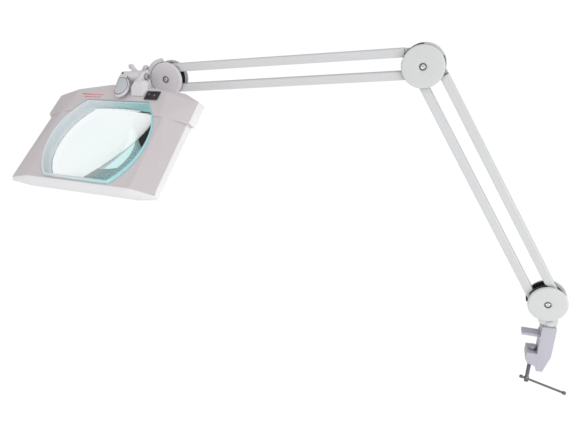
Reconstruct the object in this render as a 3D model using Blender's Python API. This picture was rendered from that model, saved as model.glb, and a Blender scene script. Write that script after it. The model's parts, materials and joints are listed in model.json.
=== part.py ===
"""Clamp-on magnifying work lamp with a rectangular head.

World frame, +Z up.  The origin sits on the underside of the clamp's upper jaw,
straight above the clamp screw, so Z = 0 is the top of the table.  The two
parallelogram arms lie in the XZ plane and reach towards -X; the front of the
lamp looks along -Y.  Dimensions are in millimetres and angles in degrees; the
shape helpers turn finished solids into metres.
"""
import math

import bmesh
import bpy
from mathutils import Matrix, Vector

for old in list(bpy.data.objects):
    bpy.data.objects.remove(old, do_unlink=True)

MM = 0.001
GAP = 0.3                             # running clearance between parts

# ---- driving dimensions ----------------------------------------------------
PIN_X = 17.5                          # vertical swivel axis of the base
BASE_X, BASE_Z = -9.5, 65.0           # centre of the base joint, from that axis
LOWER_LEN, LOWER_RISE = 424.0, 58.40  # lower arm, pivot to pivot, and its angle
UPPER_LEN, UPPER_FALL = 416.0, 6.22   # upper arm, pivot to pivot, and its angle
BAR_GAP = 33.0                        # centre distance of a pair of bars
# Each pair of bars runs a little off the centres of its round housings.
BASE_OFFSET, ELBOW_LOWER_OFFSET, ELBOW_UPPER_OFFSET = -1.2, 2.8, 3.6
BASE_R, ELBOW_R, WRIST_R = 30.0, 31.5, 27.8  # joint housings
HALF_WIDTH = 15.5                     # half the width of a joint housing
PLATE_IN, PLATE_OUT = 8.1, 10.1       # side plates of the joint brackets
PIVOT_R = 2.5
SWIVEL_X = -56.0                      # head swivel axis from the wrist centre
WRIST_CANT = -3.6                     # lean of the head swivel axis
HEAD_YAW, HEAD_TILT = -9.6, 36.7
LENS_R, LENS_Y = 95.0, 72.2           # opening: circle cut by two flats

# ---- derived directions and points -----------------------------------------
rise, fall = math.radians(LOWER_RISE), math.radians(UPPER_FALL)
LOWER_ALONG = Vector((-math.cos(rise), 0, math.sin(rise)))
UPPER_ALONG = Vector((-math.cos(fall), 0, -math.sin(fall)))
LOWER_NORMAL = Vector((math.sin(rise), 0, math.cos(rise)))
UPPER_NORMAL = Vector((-math.sin(fall), 0, math.cos(fall)))
BASE = Vector((PIN_X + BASE_X, 0, BASE_Z))
ELBOW = BASE + LOWER_ALONG * LOWER_LEN + LOWER_NORMAL * (BASE_OFFSET - ELBOW_LOWER_OFFSET)
WRIST = ELBOW + UPPER_ALONG * UPPER_LEN + UPPER_NORMAL * ELBOW_UPPER_OFFSET


def pivot_pair(normal, offset):
    """Centres of the two bar pivots of a joint, lower one first."""
    return [normal * (side * BAR_GAP / 2 + offset) for side in (-1, 1)]


BASE_PIVOTS = pivot_pair(LOWER_NORMAL, BASE_OFFSET)
ELBOW_LOWER_PIVOTS = pivot_pair(LOWER_NORMAL, ELBOW_LOWER_OFFSET)
ELBOW_UPPER_PIVOTS = pivot_pair(UPPER_NORMAL, ELBOW_UPPER_OFFSET)
WRIST_PIVOTS = pivot_pair(UPPER_NORMAL, 0)


# ---- materials -------------------------------------------------------------
def material(name, colour, roughness, metallic=0.0, alpha=1.0):
    made = bpy.data.materials.new(name)
    made.use_nodes = True
    inputs = made.node_tree.nodes["Principled BSDF"].inputs
    inputs["Base Color"].default_value = (*colour, 1)
    inputs["Roughness"].default_value = roughness
    inputs["Metallic"].default_value = metallic
    inputs["Alpha"].default_value = alpha
    return made


WHITE = material("white_enamel", colour=(0.80, 0.79, 0.80), roughness=0.35)
SHELL = material("shell_plastic", colour=(0.74, 0.70, 0.72), roughness=0.40)
BLACK = material("black_plastic", colour=(0.02, 0.02, 0.022), roughness=0.45)
CHROME = material("chrome", colour=(0.72, 0.72, 0.74), roughness=0.18, metallic=1.0)
STEEL = material("steel", colour=(0.55, 0.55, 0.56), roughness=0.35, metallic=1.0)
CAST = material("cast_metal", colour=(0.66, 0.66, 0.71), roughness=0.45, metallic=0.2)
GLASS = material("lens_glass", colour=(0.86, 0.97, 0.96), roughness=0.03, alpha=0.35)
FROST = material("frosted_plastic", colour=(0.93, 0.95, 0.95), roughness=0.55)
LAMP_GLASS = material("lamp_glass", colour=(0.97, 0.97, 0.95), roughness=0.25)


# ---- shape helpers: each returns a bmesh in metres -------------------------
def finish(bm):
    bmesh.ops.recalc_face_normals(bm, faces=bm.faces)
    bmesh.ops.scale(bm, vec=(MM, MM, MM), verts=bm.verts)
    return bm


def box(x0, x1, y0, y1, z0, z1, bevel=0.0):
    """Box between limits; the x limits may come in either order."""
    x0, x1 = sorted((x0, x1))
    bm = bmesh.new()
    bmesh.ops.create_cube(bm, size=1)
    for vert in bm.verts:
        x, y, z = vert.co
        vert.co = (x0 if x < 0 else x1, y0 if y < 0 else y1, z0 if z < 0 else z1)
    if bevel:
        bmesh.ops.bevel(bm, geom=list(bm.edges), offset=bevel, segments=2,
                        profile=0.5, affect="EDGES")
    return finish(bm)


def prism(outline, low, high, axis="Y", bevel=0.0):
    """Closed outline extruded from low to high.  axis Y: outline in XZ; axis X:
    outline in YZ; axis Z: outline in XY.  The bevel runs round both end faces."""
    place = {"X": lambda across, up, along: (along, across, up),
             "Y": lambda across, up, along: (across, along, up),
             "Z": lambda across, up, along: (across, up, along)}[axis]
    bm = bmesh.new()
    bottom = [bm.verts.new(place(*point, low)) for point in outline]
    top = [bm.verts.new(place(*point, high)) for point in outline]
    bm.faces.new(bottom)
    bm.faces.new(top)
    for i in range(len(outline)):
        j = (i + 1) % len(outline)
        bm.faces.new((bottom[i], bottom[j], top[j], top[i]))
    bmesh.ops.recalc_face_normals(bm, faces=bm.faces)
    if bevel:
        rim = [edge for edge in bm.edges
               if (edge.verts[0] in bottom) == (edge.verts[1] in bottom)]
        bmesh.ops.bevel(bm, geom=rim, offset=bevel, segments=1,
                        profile=0.5, affect="EDGES")
    return finish(bm)


def lathe(profile, segs=32, axis="Y", centre=(0, 0, 0)):
    """Turned solid.  profile is an open run of (radius, height) whose ends lie
    on the axis, or a closed ring of points when it starts off the axis."""
    place = {"X": lambda radius, height, cos, sin: (height, radius * cos, radius * sin),
             "Y": lambda radius, height, cos, sin: (radius * cos, height, radius * sin),
             "Z": lambda radius, height, cos, sin: (radius * cos, radius * sin, height)}[axis]
    angles = [2 * math.pi * i / segs for i in range(segs)]
    bm = bmesh.new()
    rings = []
    for radius, height in profile:
        steps = angles if radius else [0.0]
        rings.append([bm.verts.new(place(radius, height, math.cos(angle), math.sin(angle)))
                      for angle in steps])
    pairs = list(zip(rings, rings[1:]))
    if profile[0][0] != 0:
        pairs.append((rings[-1], rings[0]))
    for ring, after in pairs:
        for i in range(segs):
            j = (i + 1) % segs
            corners = (ring[i % len(ring)], ring[j % len(ring)],
                       after[j % len(after)], after[i % len(after)])
            face = list(dict.fromkeys(corners))   # drops the repeat at an axis point
            if len(face) > 2:
                bm.faces.new(face)
    bmesh.ops.translate(bm, vec=centre, verts=bm.verts)
    return finish(bm)


def rod(radius, low, high, axis="Y", centre=(0, 0, 0), segs=20):
    return lathe([(0, low), (radius, low), (radius, high), (0, high)], segs, axis, centre)


def hull(points):
    bm = bmesh.new()
    for point in points:
        bm.verts.new(point)
    bmesh.ops.convex_hull(bm, input=bm.verts)
    bmesh.ops.dissolve_limit(bm, angle_limit=0.001, verts=bm.verts, edges=bm.edges)
    loose = [vert for vert in bm.verts if not vert.link_faces]
    bmesh.ops.delete(bm, geom=loose, context="VERTS")
    return finish(bm)


def turned(bm, degrees, axis):
    """The same solid turned about an axis through the origin."""
    bmesh.ops.rotate(bm, verts=bm.verts, cent=(0, 0, 0),
                     matrix=Matrix.Rotation(math.radians(degrees), 3, axis))
    return bm


def arc(radius, start, end, steps, x=0, y=0):
    """Outline points from start to end, in degrees, round the centre (x, y)."""
    angles = [math.radians(start + (end - start) * i / steps) for i in range(steps + 1)]
    return [(x + radius * math.cos(angle), y + radius * math.sin(angle))
            for angle in angles]


def disc_outline(radius):
    return arc(radius, 0, 360, 28)[:-1]


# ---- object helpers --------------------------------------------------------
def frame(name, parent, location, rotation=(0, 0, 0)):
    """Empty placed in millimetres and turned by XYZ angles in degrees."""
    made = bpy.data.objects.new(name, None)
    made.empty_display_size = 0.02
    bpy.context.scene.collection.objects.link(made)
    made.parent = parent
    made.location = Vector(location) * MM
    made.rotation_euler = [math.radians(angle) for angle in rotation]
    return made


def shade(mesh):
    mesh.shade_smooth()
    mesh.set_sharp_from_angle(angle=math.radians(38))


def mesh_object(name, bm):
    mesh = bpy.data.meshes.new(name)
    bm.to_mesh(mesh)
    bm.free()
    made = bpy.data.objects.new(name, mesh)
    bpy.context.scene.collection.objects.link(made)
    return made


def put(name, bm, surface, parent, location=(0, 0, 0)):
    piece = mesh_object(name, bm)
    shade(piece.data)
    piece.data.materials.append(surface)
    piece.parent = parent
    piece.location = Vector(location) * MM
    return piece


def combine(piece, operation, tools):
    """Add one boolean modifier, with a hidden helper object, for each tool."""
    for bm in tools:
        number = len(piece.modifiers)
        tool = mesh_object(f"{piece.name}_tool{number}", bm)
        tool.hide_render = True
        tool.display_type = "WIRE"
        tool.parent = piece.parent
        tool.location = piece.location
        modifier = piece.modifiers.new(f"{operation.lower()}_{number}", "BOOLEAN")
        modifier.operation = operation
        modifier.solver = "EXACT"
        modifier.object = tool


def cut(piece, *tools):
    combine(piece, "DIFFERENCE", tools)


def fuse(piece, *tools):
    combine(piece, "UNION", tools)


def trim(piece, tool):
    """Keep only what lies inside the tool."""
    combine(piece, "INTERSECT", [tool])


# ==== clamp =================================================================
SCREW_X = -PIN_X                      # screw axis, from the swivel axis
SCREW_R = 3.0
BUSH_IN, BUSH_OUT = 6.4, 7.5
TBAR_R, TBAR_Z, TBAR_TURN = 1.8, -90.5, -21

# (x, z): long upper jaw, spine with the swivel socket on top, short lower jaw.
CLAMP_OUTLINE = [
    (-39, 0), (-11, 0), (-11, -29), (-27, -29), (-27.5, -42), (-23, -50),
    (-11, -53), (-8, -62), (1.5, -62), (10.5, -31), (11, 22),
    (9, 24), (-9, 24), (-11, 22), (-11, 4.6), (-38, 4.4), (-39, 3.6)]
# (radius, height) profiles.
SCREW_PROFILE = [
    (0, -95.6), (3.0, -95.6), (3.8, -94.5), (3.8, -86.5), (SCREW_R, -85),
    (SCREW_R, -29.6), (1.9, -29.0), (1.9, -24.8), (0, -24.8)]
PAD_PROFILE = [
    (0, -22.4), (5.6, -22.4), (6.1, -23.0), (6.1, -27.8), (5.6, -28.6),
    (2.3, -28.6), (2.3, -24.4), (0, -24.4)]
TBAR_PROFILE = [
    (0, -11.8), (2.0, -11.3), (2.9, -9.8), (2.9, -7.4), (2.3, -5.9),
    (TBAR_R, -5.5), (TBAR_R, 57), (1.3, 57.4), (1.3, 60.5), (0, 60.5)]
TBAR_CAP_PROFILE = [
    (0, 64.4), (2.0, 63.8), (3.0, 62.2), (3.0, 59.6),
    (2.3, 57.8), (1.6, 57.8), (1.6, 60.9), (0, 60.9)]


def clamp_body(parent):
    """C-shaped casting, its upper jaw narrowed on both sides."""
    body = put("clamp_body", prism(CLAMP_OUTLINE, -15, 15, "Y", 1.2), CAST, parent)
    cut(body, box(-60, -12.2, 9, 30, -5, 12), box(-60, -12.2, -30, -9, -5, 12),
        rod(BUSH_OUT + GAP, -14, 40, "Z"),
        rod(SCREW_R + GAP, -70, -10, "Z", (SCREW_X, 0, 0)))


def swivel_bush(parent):
    put("swivel_bush", lathe([(BUSH_IN, -13.5), (BUSH_OUT, -13.5), (BUSH_OUT, 23.8),
                              (BUSH_IN, 23.8)], 20, "Z"), BLACK, parent)


def clamp_screw(parent):
    """Screw with a head drilled for the sliding bar, and the pad on its tip."""
    screw = put("clamp_screw", lathe(SCREW_PROFILE, 14, "Z"), CHROME, parent)
    hole = rod(TBAR_R + GAP, -12, 12, "X", (0, 0, TBAR_Z), 16)
    cut(screw, turned(hole, TBAR_TURN, "Z"))
    put("pressure_pad", lathe(PAD_PROFILE, 24, "Z"), STEEL, parent)


def sliding_bar(parent):
    put("tbar", lathe(TBAR_PROFILE, 14, "X"), CHROME, parent)
    put("tbar_cap", lathe(TBAR_CAP_PROFILE, 16, "X"), CHROME, parent)


# ==== parts shared by the joints ============================================
SIDES = (("front", -1), ("rear", 1))
THROUGH = 20.0                        # reach in Y of tools that cut right across
DISC_IN, DISC_OUT = 6.6, 7.8          # black friction discs
BOLT_R, BOLT_HOLE_R = 3.0, 3.4
COVER_WALL = 2.4


def pivot_holes(centres):
    return [rod(PIVOT_R + GAP, -THROUGH, THROUGH, "Y", centre, 10) for centre in centres]


def bolt_hole():
    return rod(BOLT_HOLE_R, -THROUGH, THROUGH, segs=10)


def pivot_pins(prefix, letters, centres, low, high, parent):
    for letter, centre in zip(letters, centres):
        put(f"{prefix}_{letter}", rod(PIVOT_R, low, high, "Y", centre, 10), STEEL, parent)


def black_plates(prefix, outline, inner, outer, parent, front_pivots, rear_pivots):
    """Front and rear plates drilled for the centre bolt and their pivots."""
    for (place, side), pivots in zip(SIDES, (front_pivots, rear_pivots)):
        low, high = sorted((side * inner, side * outer))
        plate = put(f"{prefix}_{place}", prism(outline, low, high), BLACK, parent)
        cut(plate, bolt_hole(), *pivot_holes(pivots))


def covers(prefix, radius, parent):
    """Front and rear shallow cups, closed on the outer face, with a bolt seat."""
    rim, face = PLATE_OUT + GAP, HALF_WIDTH
    profile = [(BOLT_HOLE_R, face - 2.6), (radius - COVER_WALL, face - 2.6),
               (radius - COVER_WALL, rim), (radius, rim), (radius, face - 1.6),
               (radius - 1.6, face - 0.2), (6.2, face), (BOLT_HOLE_R, face - 0.9)]
    return [put(f"{prefix}_cover_{place}", lathe([(r, side * y) for r, y in profile]),
                WHITE, parent) for place, side in SIDES]


def centre_bolt(name, parent):
    """Bolt across the housing with a low, cross-slotted head on the front."""
    face = HALF_WIDTH
    profile = [(0, -face - 0.5), (2.6, -face - 0.3), (4.2, -face + 0.35),
               (4.2, -face + 0.6), (BOLT_R, -face + 0.6), (BOLT_R, face - 1.2),
               (0, face - 1.2)]
    slot_floor = -face + 0.95
    bolt = put(name, lathe(profile, 12), STEEL, parent)
    cut(bolt, box(-2.3, 2.3, -face - 3, slot_floor, -0.5, 0.5),
        box(-0.5, 0.5, -face - 3, slot_floor, -2.3, 2.3))


# ==== base joint ============================================================
NECK_X = -BASE_X                      # swivel axis seen from the joint centre
NECK_Z = -40.7                        # underside of the neck


def base_bracket(parent):
    """Two round side plates on a neck with a collar and a swivel peg."""
    bracket = put("base_bracket", prism(disc_outline(BASE_R - 2.5), -PLATE_OUT, PLATE_OUT),
                  WHITE, parent)
    neck = [(-10, -20), (-8, -36), (2, NECK_Z), (NECK_X + 9, NECK_Z),
            (NECK_X + 9, -36), (21, -12)]
    fuse(bracket, prism(neck, -PLATE_OUT, PLATE_OUT),
         lathe([(0, -40.6), (12.5, -40.6), (12.5, -33.5), (10.5, -31.5), (0, -31.5)],
               20, "Z", (NECK_X, 0, 0)),
         rod(BUSH_IN - GAP, -76, -38, "Z", (NECK_X, 0, 0)))
    cut(bracket, box(-40, 40, -PLATE_IN, PLATE_IN, -27.2, 60),
        *pivot_holes(BASE_PIVOTS), bolt_hole())


def base_joint(parent):
    base_bracket(parent)
    pivot_pins("base_pivot_pin", "ab", BASE_PIVOTS, -PLATE_OUT, PLATE_OUT, parent)
    rim = BASE_R + 1.5
    outline = arc(rim, 76, 200, 14) + arc(rim - 5.2, 205, 431, 18)
    black_plates("base_friction_disc", outline, DISC_IN, DISC_OUT, parent,
                 BASE_PIVOTS, BASE_PIVOTS)
    covers("base", BASE_R, parent)
    centre_bolt("base_centre_bolt", parent)


# ==== arms ==================================================================
TUBE = 13.0                           # square tube, outside
TUBE_WALL = 1.2
TUBE_START = 27.0                     # tube end to elbow pivot
TUBE_TAIL = -9.0                      # other end of the tube, from its pivot
TUBE_END_R = 8.2                      # rounding of that end, round the pivot


def bevel_long_edges(piece):
    bm = bmesh.new()
    bm.from_mesh(piece.data)
    long_edges = [edge for edge in bm.edges
                  if abs(edge.verts[0].co.x - edge.verts[1].co.x) > 0.05]
    bmesh.ops.bevel(bm, geom=long_edges, offset=1.5 * MM, segments=2,
                    profile=0.5, affect="EDGES")
    bm.to_mesh(piece.data)
    bm.free()
    shade(piece.data)


def tube(name, parent, length):
    """Square tube; x = 0 is its pivot, the far end stops short of the elbow."""
    half = TUBE / 2
    inside = half - TUBE_WALL
    end = length - TUBE_START
    square = [(-half, -half), (half, -half), (half, half), (-half, half)]
    piece = put(name, prism(square, TUBE_TAIL, end, "X"), WHITE, parent)
    bevel_long_edges(piece)
    envelope = [(end + 5, -TUBE_END_R), (end + 5, TUBE_END_R)] + \
        arc(TUBE_END_R, 90, 270, 10)
    trim(piece, prism(envelope, -THROUGH, THROUGH))
    cut(piece, box(TUBE_TAIL - 5, end + 5, -inside, inside, -inside, inside),
        *pivot_holes([(0, 0, 0)]))


def tongue(name, parent, length, side):
    """Flat strip fixed in the tube, carrying the elbow pivot."""
    low, high = sorted((side * 0.4, side * 4.8))
    start = length - TUBE_START
    narrow, wide = 4.7, 6.3           # half heights inside and outside the tube
    outline = [(start - 22, -narrow), (start + 0.2, -narrow), (start + 0.2, -wide),
               (start + 8, -wide)] + arc(narrow, -78, 78, 8, length) + \
        [(start + 8, wide), (start + 0.2, wide), (start + 0.2, narrow),
         (start - 22, narrow)]
    piece = put(name, prism(outline, low, high), WHITE, parent)
    cut(piece, *pivot_holes([(length, 0, 0)]))


def balance_spring(name, parent):
    """Square-section wire swept along a coil round x, capped at both ends."""
    start, end, turns = 60, 150, 7
    coil_r, wire_r = 3.6, 0.6
    per_turn, sides = 10, 4
    steps = turns * per_turn
    bm = bmesh.new()
    rings = []
    for i in range(steps + 1):
        angle = 2 * math.pi * i / per_turn
        middle = Vector((start + (end - start) * i / steps, 0, 0))
        outward = Vector((0, math.cos(angle), math.sin(angle)))
        ring = []
        for k in range(sides):
            around = 2 * math.pi * k / sides
            ring.append(bm.verts.new(
                middle + outward * (coil_r + wire_r * math.cos(around))
                + Vector((wire_r * math.sin(around), 0, 0))))
        rings.append(ring)
    for ring, after in zip(rings, rings[1:]):
        for k in range(sides):
            m = (k + 1) % sides
            bm.faces.new((ring[k], ring[m], after[m], after[k]))
    bm.faces.new(rings[0])
    bm.faces.new(rings[-1])
    put(name, finish(bm), STEEL, parent)


def arm(prefix, bars, length, side):
    """A pair of bars, keyed by letter; side is where the tongues lie in Y
    within their own frames.  The spring sits in the first bar."""
    for letter, bar in bars.items():
        tube(f"{prefix}_tube_{letter}", bar, length)
        tongue(f"{prefix}_tongue_{letter}", bar, length, side)
    balance_spring(f"{prefix}_balance_spring", next(iter(bars.values())))


def lower_arm(parent):
    bars = {letter: frame(f"lower_bar_{letter}_frame", parent, pivot,
                          (0, 180 + LOWER_RISE, 0))
            for letter, pivot in zip("ab", BASE_PIVOTS)}
    arm("lower", bars, LOWER_LEN, 1)


def upper_arm(parent):
    """The bars are drawn from the wrist end, x running back to the elbow."""
    bars = {}
    for letter, pivot in zip("cd", ELBOW_UPPER_PIVOTS):
        bar = frame(f"upper_bar_{letter}_frame", parent, pivot, (0, 180 - UPPER_FALL, 0))
        bars[letter] = frame(f"upper_bar_{letter}_wrist_end", bar,
                             (UPPER_LEN, 0, 0), (0, 180, 0))
    arm("upper", bars, UPPER_LEN, -1)


# ==== elbow =================================================================
def elbow_joint(parent):
    """The upper arm pivots on the front plate, the lower arm on the rear one."""
    outline = arc(ELBOW_R - 0.7, 98, 386, 24) + arc(ELBOW_R - 3.2, 27, 97, 8)
    black_plates("elbow_plate", outline, PLATE_IN - 1.5, PLATE_OUT, parent,
                 ELBOW_UPPER_PIVOTS, ELBOW_LOWER_PIVOTS)
    pivot_pins("elbow_lower_pin", "ab", ELBOW_LOWER_PIVOTS, 0.2, PLATE_OUT, parent)
    pivot_pins("elbow_upper_pin", "ab", ELBOW_UPPER_PIVOTS, -PLATE_OUT, -0.2, parent)
    rear_cover = covers("elbow", ELBOW_R, parent)[1]
    # Curved skirt that bridges the joint on its upper right.
    skirt = arc(ELBOW_R, 30, 94, 8) + arc(ELBOW_R - COVER_WALL, 94, 30, 8)
    fuse(rear_cover, prism(skirt, -PLATE_OUT, PLATE_OUT + 2))
    centre_bolt("elbow_centre_bolt", parent)


# ==== wrist =================================================================
YOKE_R = WRIST_R - 2.3
BAND_R = 35.5                         # guard band round the -X side
SWIVEL_BOLT_R, SWIVEL_HOLE_R = 4.0, 4.4


def wrist_yoke(parent):
    """Side plates joined by a curved band, with a canted arm to the swivel."""
    yoke = put("wrist_yoke", prism(disc_outline(YOKE_R), -PLATE_OUT, PLATE_OUT),
               WHITE, parent)
    web = arc(BAND_R, 120, 226, 12) + arc(YOKE_R - 0.6, 226, 120, 12)
    band = arc(BAND_R - 0.4, 121, 225, 12) + arc(WRIST_R + 0.6, 225, 121, 12)
    fuse(yoke, prism(web, -PLATE_OUT, PLATE_OUT), prism(band, -13.4, 13.4),
         turned(box(-50, -19.5, -9.7, 9.7, -26, -18.4), WRIST_CANT, "Y"),
         turned(rod(11.9, -26.2, -18.3, "Z", (SWIVEL_X, 0, 0)), WRIST_CANT, "Y"))
    pocket = arc(YOKE_R + 1.2, 90, 118, 3) + arc(YOKE_R - 0.45, 120, 226, 10) + \
        arc(YOKE_R + 1.2, 228, 270, 4) + [(40, -40), (40, 40)]
    cut(yoke, prism(pocket, -PLATE_IN, PLATE_IN),
        turned(rod(SWIVEL_HOLE_R, -40, 0, "Z", (SWIVEL_X, 0, 0)), WRIST_CANT, "Y"),
        bolt_hole(), *pivot_holes(WRIST_PIVOTS))


def wrist_joint(parent):
    wrist_yoke(parent)
    pivot_pins("wrist_pivot_pin", "cd", WRIST_PIVOTS, -PLATE_OUT, PLATE_OUT, parent)
    black_plates("wrist_friction_disc", disc_outline(WRIST_R - 3.2), DISC_IN, DISC_OUT,
                 parent, WRIST_PIVOTS, WRIST_PIVOTS)
    covers("wrist", WRIST_R, parent)
    centre_bolt("wrist_centre_bolt", parent)


# ==== head swivel ===========================================================
TILT_AXIS = Vector((11.0, -38.0, 10.0))  # tilt axis in the swivel frame
EYE_START, EYE_END = 15.0, 37.0       # eye of the knuckle along the axis
TILT_BOLT_R = 3.0
TILT_HOLE_R = TILT_BOLT_R + GAP

# (x, z) of one butterfly wing: narrow at the hub, round at the tip.
WING_OUTLINE = [(5, 9), (10, 13.5), (14, 18.5), (17.5, 22.2)] + \
    arc(4.5, -60, 130, 10, 19.6, 26.4) + [(12.5, 25.2), (8, 21.4), (5, 20)]


def swivel_knuckle(parent):
    """Round foot on the swivel axis, carrying the eye for the tilt bolt."""
    eye = (0, TILT_AXIS.y, TILT_AXIS.z)
    knuckle = put("swivel_knuckle", rod(11.4, -18.0, -8.3, "Z"), SHELL, parent)
    fuse(knuckle, box(-8, 9, -24, -4, -17.9, -8.4),
         box(0, EYE_END - 0.3, -31, -18, -17.8, 4),
         rod(9.4, EYE_START, EYE_END, "X", eye, 18),
         box(EYE_START + 0.1, EYE_END - 0.1, -37, -24, 1, 17.5))
    cut(knuckle, rod(SWIVEL_HOLE_R, -40, 10, "Z"), rod(TILT_HOLE_R, -20, 60, "X", eye))


def swivel_bolt(parent):
    put("swivel_bolt", lathe([(0, -31), (6.5, -31), (6.5, -26.3), (SWIVEL_BOLT_R, -26.3),
                              (SWIVEL_BOLT_R, 8), (0, 8)], 18, "Z"), STEEL, parent)


def swivel_wing_knob(parent):
    knob = put("swivel_wing_knob",
               lathe([(0, 0), (9.4, 0), (9.8, 0.8), (8.6, 14), (7.6, 17.5),
                      (5.5, 20.2), (0, 20.8)], 18, "Z"), SHELL, parent)
    opposite = [(-x, z) for x, z in WING_OUTLINE][::-1]
    fuse(knob, prism(WING_OUTLINE, -2.6, 2.6, "Y", 1.1), prism(opposite, -2.6, 2.6, "Y", 1.1))
    cut(knob, rod(SWIVEL_HOLE_R, -5, 17.0, "Z"))


# ==== head ==================================================================
# The head frame lies on the tilt axis, the lens frame at the lens centre.
# In both, x runs to the right, y to the back and z up out of the lens.
AXIS_Y, AXIS_Z = 124.3, 7.0           # tilt axis seen from the lens centre
SEAM = -20.0                          # height where the two shells meet
LOWER_TOP = SEAM - GAP
SHELL_WALL = 2.6
CAVITY_Z = SEAM - 5                   # open end of the upper shell's hollow
COLLAR_WALL = 3.0


def both_sides(points):
    """The points together with their mirror images in x."""
    return [(side * x, y, z) for x, y, z in points for side in (-1, 1)]


# (x, y, z) corners of the right half of each convex block.
FRONT_OUTER = both_sides([
    (104, -77.5, -2.5), (104, 52, 3), (144.5, -78.5, -12.5), (140, 52, -12.5),
    (147.5, -82, SEAM), (144, 52, SEAM), (100, -82.5, -5.5), (100, -86.5, SEAM)])
BRIDGE_OUTER = both_sides([
    (97, 49, 4.8), (91, 94, 6), (145, 50, -8.8), (144, 90.5, -8.8),
    (111, 106, -8.5), (149.5, 48.5, SEAM), (149, 91, SEAM), (114, 109, SEAM),
    (24, 106, 6.4), (60, 110, -8.5), (60, 111.5, SEAM)])
FRONT_INNER = both_sides([
    (102, -75.5, -2.8 - SHELL_WALL), (102, 60, 1 - SHELL_WALL),
    (141, -76, -14.5), (137, 60, -14.5), (143.5, -79, CAVITY_Z),
    (140, 60, CAVITY_Z), (98, -79.6, -8.6), (98, -83, CAVITY_Z)])
BRIDGE_INNER = both_sides([
    (96, 51.5, 4.2 - SHELL_WALL), (90, 92, 5.4 - SHELL_WALL),
    (142, 52.5, -11.2), (141.5, 88.5, -11.2), (109.5, 103.5, -10.8),
    (145.5, 52, CAVITY_Z), (145.5, 89, CAVITY_Z), (112, 106, CAVITY_Z),
    (23, 103.6, 5.6 - SHELL_WALL), (59, 107.3, -10.8), (59, 108.7, CAVITY_Z)])
LOWER_OUTER = both_sides([
    (143, -79.5, LOWER_TOP), (139, 88, LOWER_TOP), (100, -83.5, LOWER_TOP),
    (110, 104, LOWER_TOP), (58, 107.5, LOWER_TOP), (134, -74, -33.5),
    (128, 80, -33.5), (104, -79, -33.5), (100, 97, -33.5)])
LOWER_INNER = both_sides([
    (137.5, -75, SEAM + 4), (132, 84, SEAM + 4), (98, -79.2, SEAM + 4),
    (105, 100.5, SEAM + 4), (131, -71, -31.2), (125, 77, -31.2),
    (102, -76, -31.2), (98, 94, -31.2)])
# (x, y, z) corners of the hood behind the lens.
HOOD = [
    (24.5, 84, 6.7), (49, 84, 6.7), (21.5, 92, 6.7), (52.4, 96, 6.7), (21.5, 110, 6.7),
    (46, 112, 6.7), (26, 88, 10), (46, 88, 10), (23.5, 95, 14), (47, 96, 12.5),
    (26, 104, 17), (40, 105, 16.5), (24, 113, 14), (44, 112, 12)]


def opening(grow, low, high):
    """Plug shaped like the lens opening, grown by an offset all round."""
    radius, flat = LENS_R + grow, LENS_Y + grow
    half_angle = math.degrees(math.asin(flat / radius))
    outline = arc(radius, -half_angle, half_angle, 10) + \
        arc(radius, 180 - half_angle, 180 + half_angle, 10)
    return prism(outline, low, high, "Z")


def head_shells(parent):
    top = put("head_top_shell", hull(FRONT_OUTER), SHELL, parent)
    fuse(top, hull(BRIDGE_OUTER))
    cut(top, hull(FRONT_INNER), hull(BRIDGE_INNER), opening(COLLAR_WALL + GAP, -60, 60),
        switch_box(11, 6.8, -5, 20))
    bottom = put("head_bottom_shell", hull(LOWER_OUTER), SHELL, parent)
    cut(bottom, hull(LOWER_INNER), opening(COLLAR_WALL + GAP, -60, 60),
        *[box(side * 103, side * 124, -62, 62, -50, -25) for side in (1, -1)])


def lens_collar(parent):
    """Lining of the opening, with an inner rib round the edge of the lens."""
    collar = put("lens_collar", opening(COLLAR_WALL, -33, 3.2), SHELL, parent)
    cut(collar, opening(-4, -60, 60), opening(0, -12.2, 20), opening(0, -50, -17.8))


def magnifying_lens(parent):
    """Double convex glass with two opposite flats."""
    inset = 4.4                       # rim inside the opening's outline
    radius, flat = LENS_R - inset, LENS_Y - inset
    edge, crown, steps = 5.0, 10.5, 4  # rim thickness, rise of each face
    sphere = (radius * radius + crown * crown) / (2 * crown)
    upper = []
    for i in range(steps + 1):
        out = radius * i / steps
        height = edge / 2 + math.sqrt(sphere * sphere - out * out) - (sphere - crown)
        upper.append((out, height))
    lower = [(out, -height) for out, height in reversed(upper)]
    lens = put("magnifying_lens", lathe(upper + lower, 32, "Z"), GLASS, parent, (0, 0, -15.0))
    trim(lens, box(-120, 120, -flat, flat, -30, 30))


LAMP_X = 114.0                        # middle of each lamp, either side of the lens
FINGER_X = 5.6                        # lamp fingers from that middle


def lamp(place, side, parent):
    """Diffuser, U-shaped lamp and holder on one side of the lens."""
    def lamp_box(half, *limits):
        return box(side * (LAMP_X - half), side * (LAMP_X + half), *limits)

    def finger(offset):
        return rod(5.2, -58, 42, "Y", (side * (LAMP_X + offset), 0, -23.5), 14)

    put(f"lamp_diffuser_{place}",
        box(side * 103.8, side * 123.2, -61.6, 61.6, -33.0, -31.6), FROST, parent)
    # Two glass fingers joined near the front tip, with a block at the back.
    glass = put(f"lamp_tube_{place}", finger(-FINGER_X), LAMP_GLASS, parent)
    fuse(glass, finger(FINGER_X), lamp_box(7, -54, -50, -26, -21, 0.8),
         lamp_box(10.2, 36, 52, -29, -18, 1.0))
    holder = put(f"lamp_holder_{place}", lamp_box(11.5, 54.5, 68, -30.6, -16, 1.0),
                 BLACK, parent)
    cut(holder, lamp_box(7, 50, 58, -27, -19))


def ballast(parent):
    put("ballast", box(-88, -26, 79.5, 94, -28, -4, 1.0), BLACK, parent)


SWITCH_X, SWITCH_Y = 66.0, 86.5
# (x, z) of the rocker, seen along y.
ROCKER_OUTLINE = [(-8.036, 2.6), (-8.036, -1.5), (0, -4.2), (8.036, -1.5),
                  (8.036, 0.8), (0, 0.6)]


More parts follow.
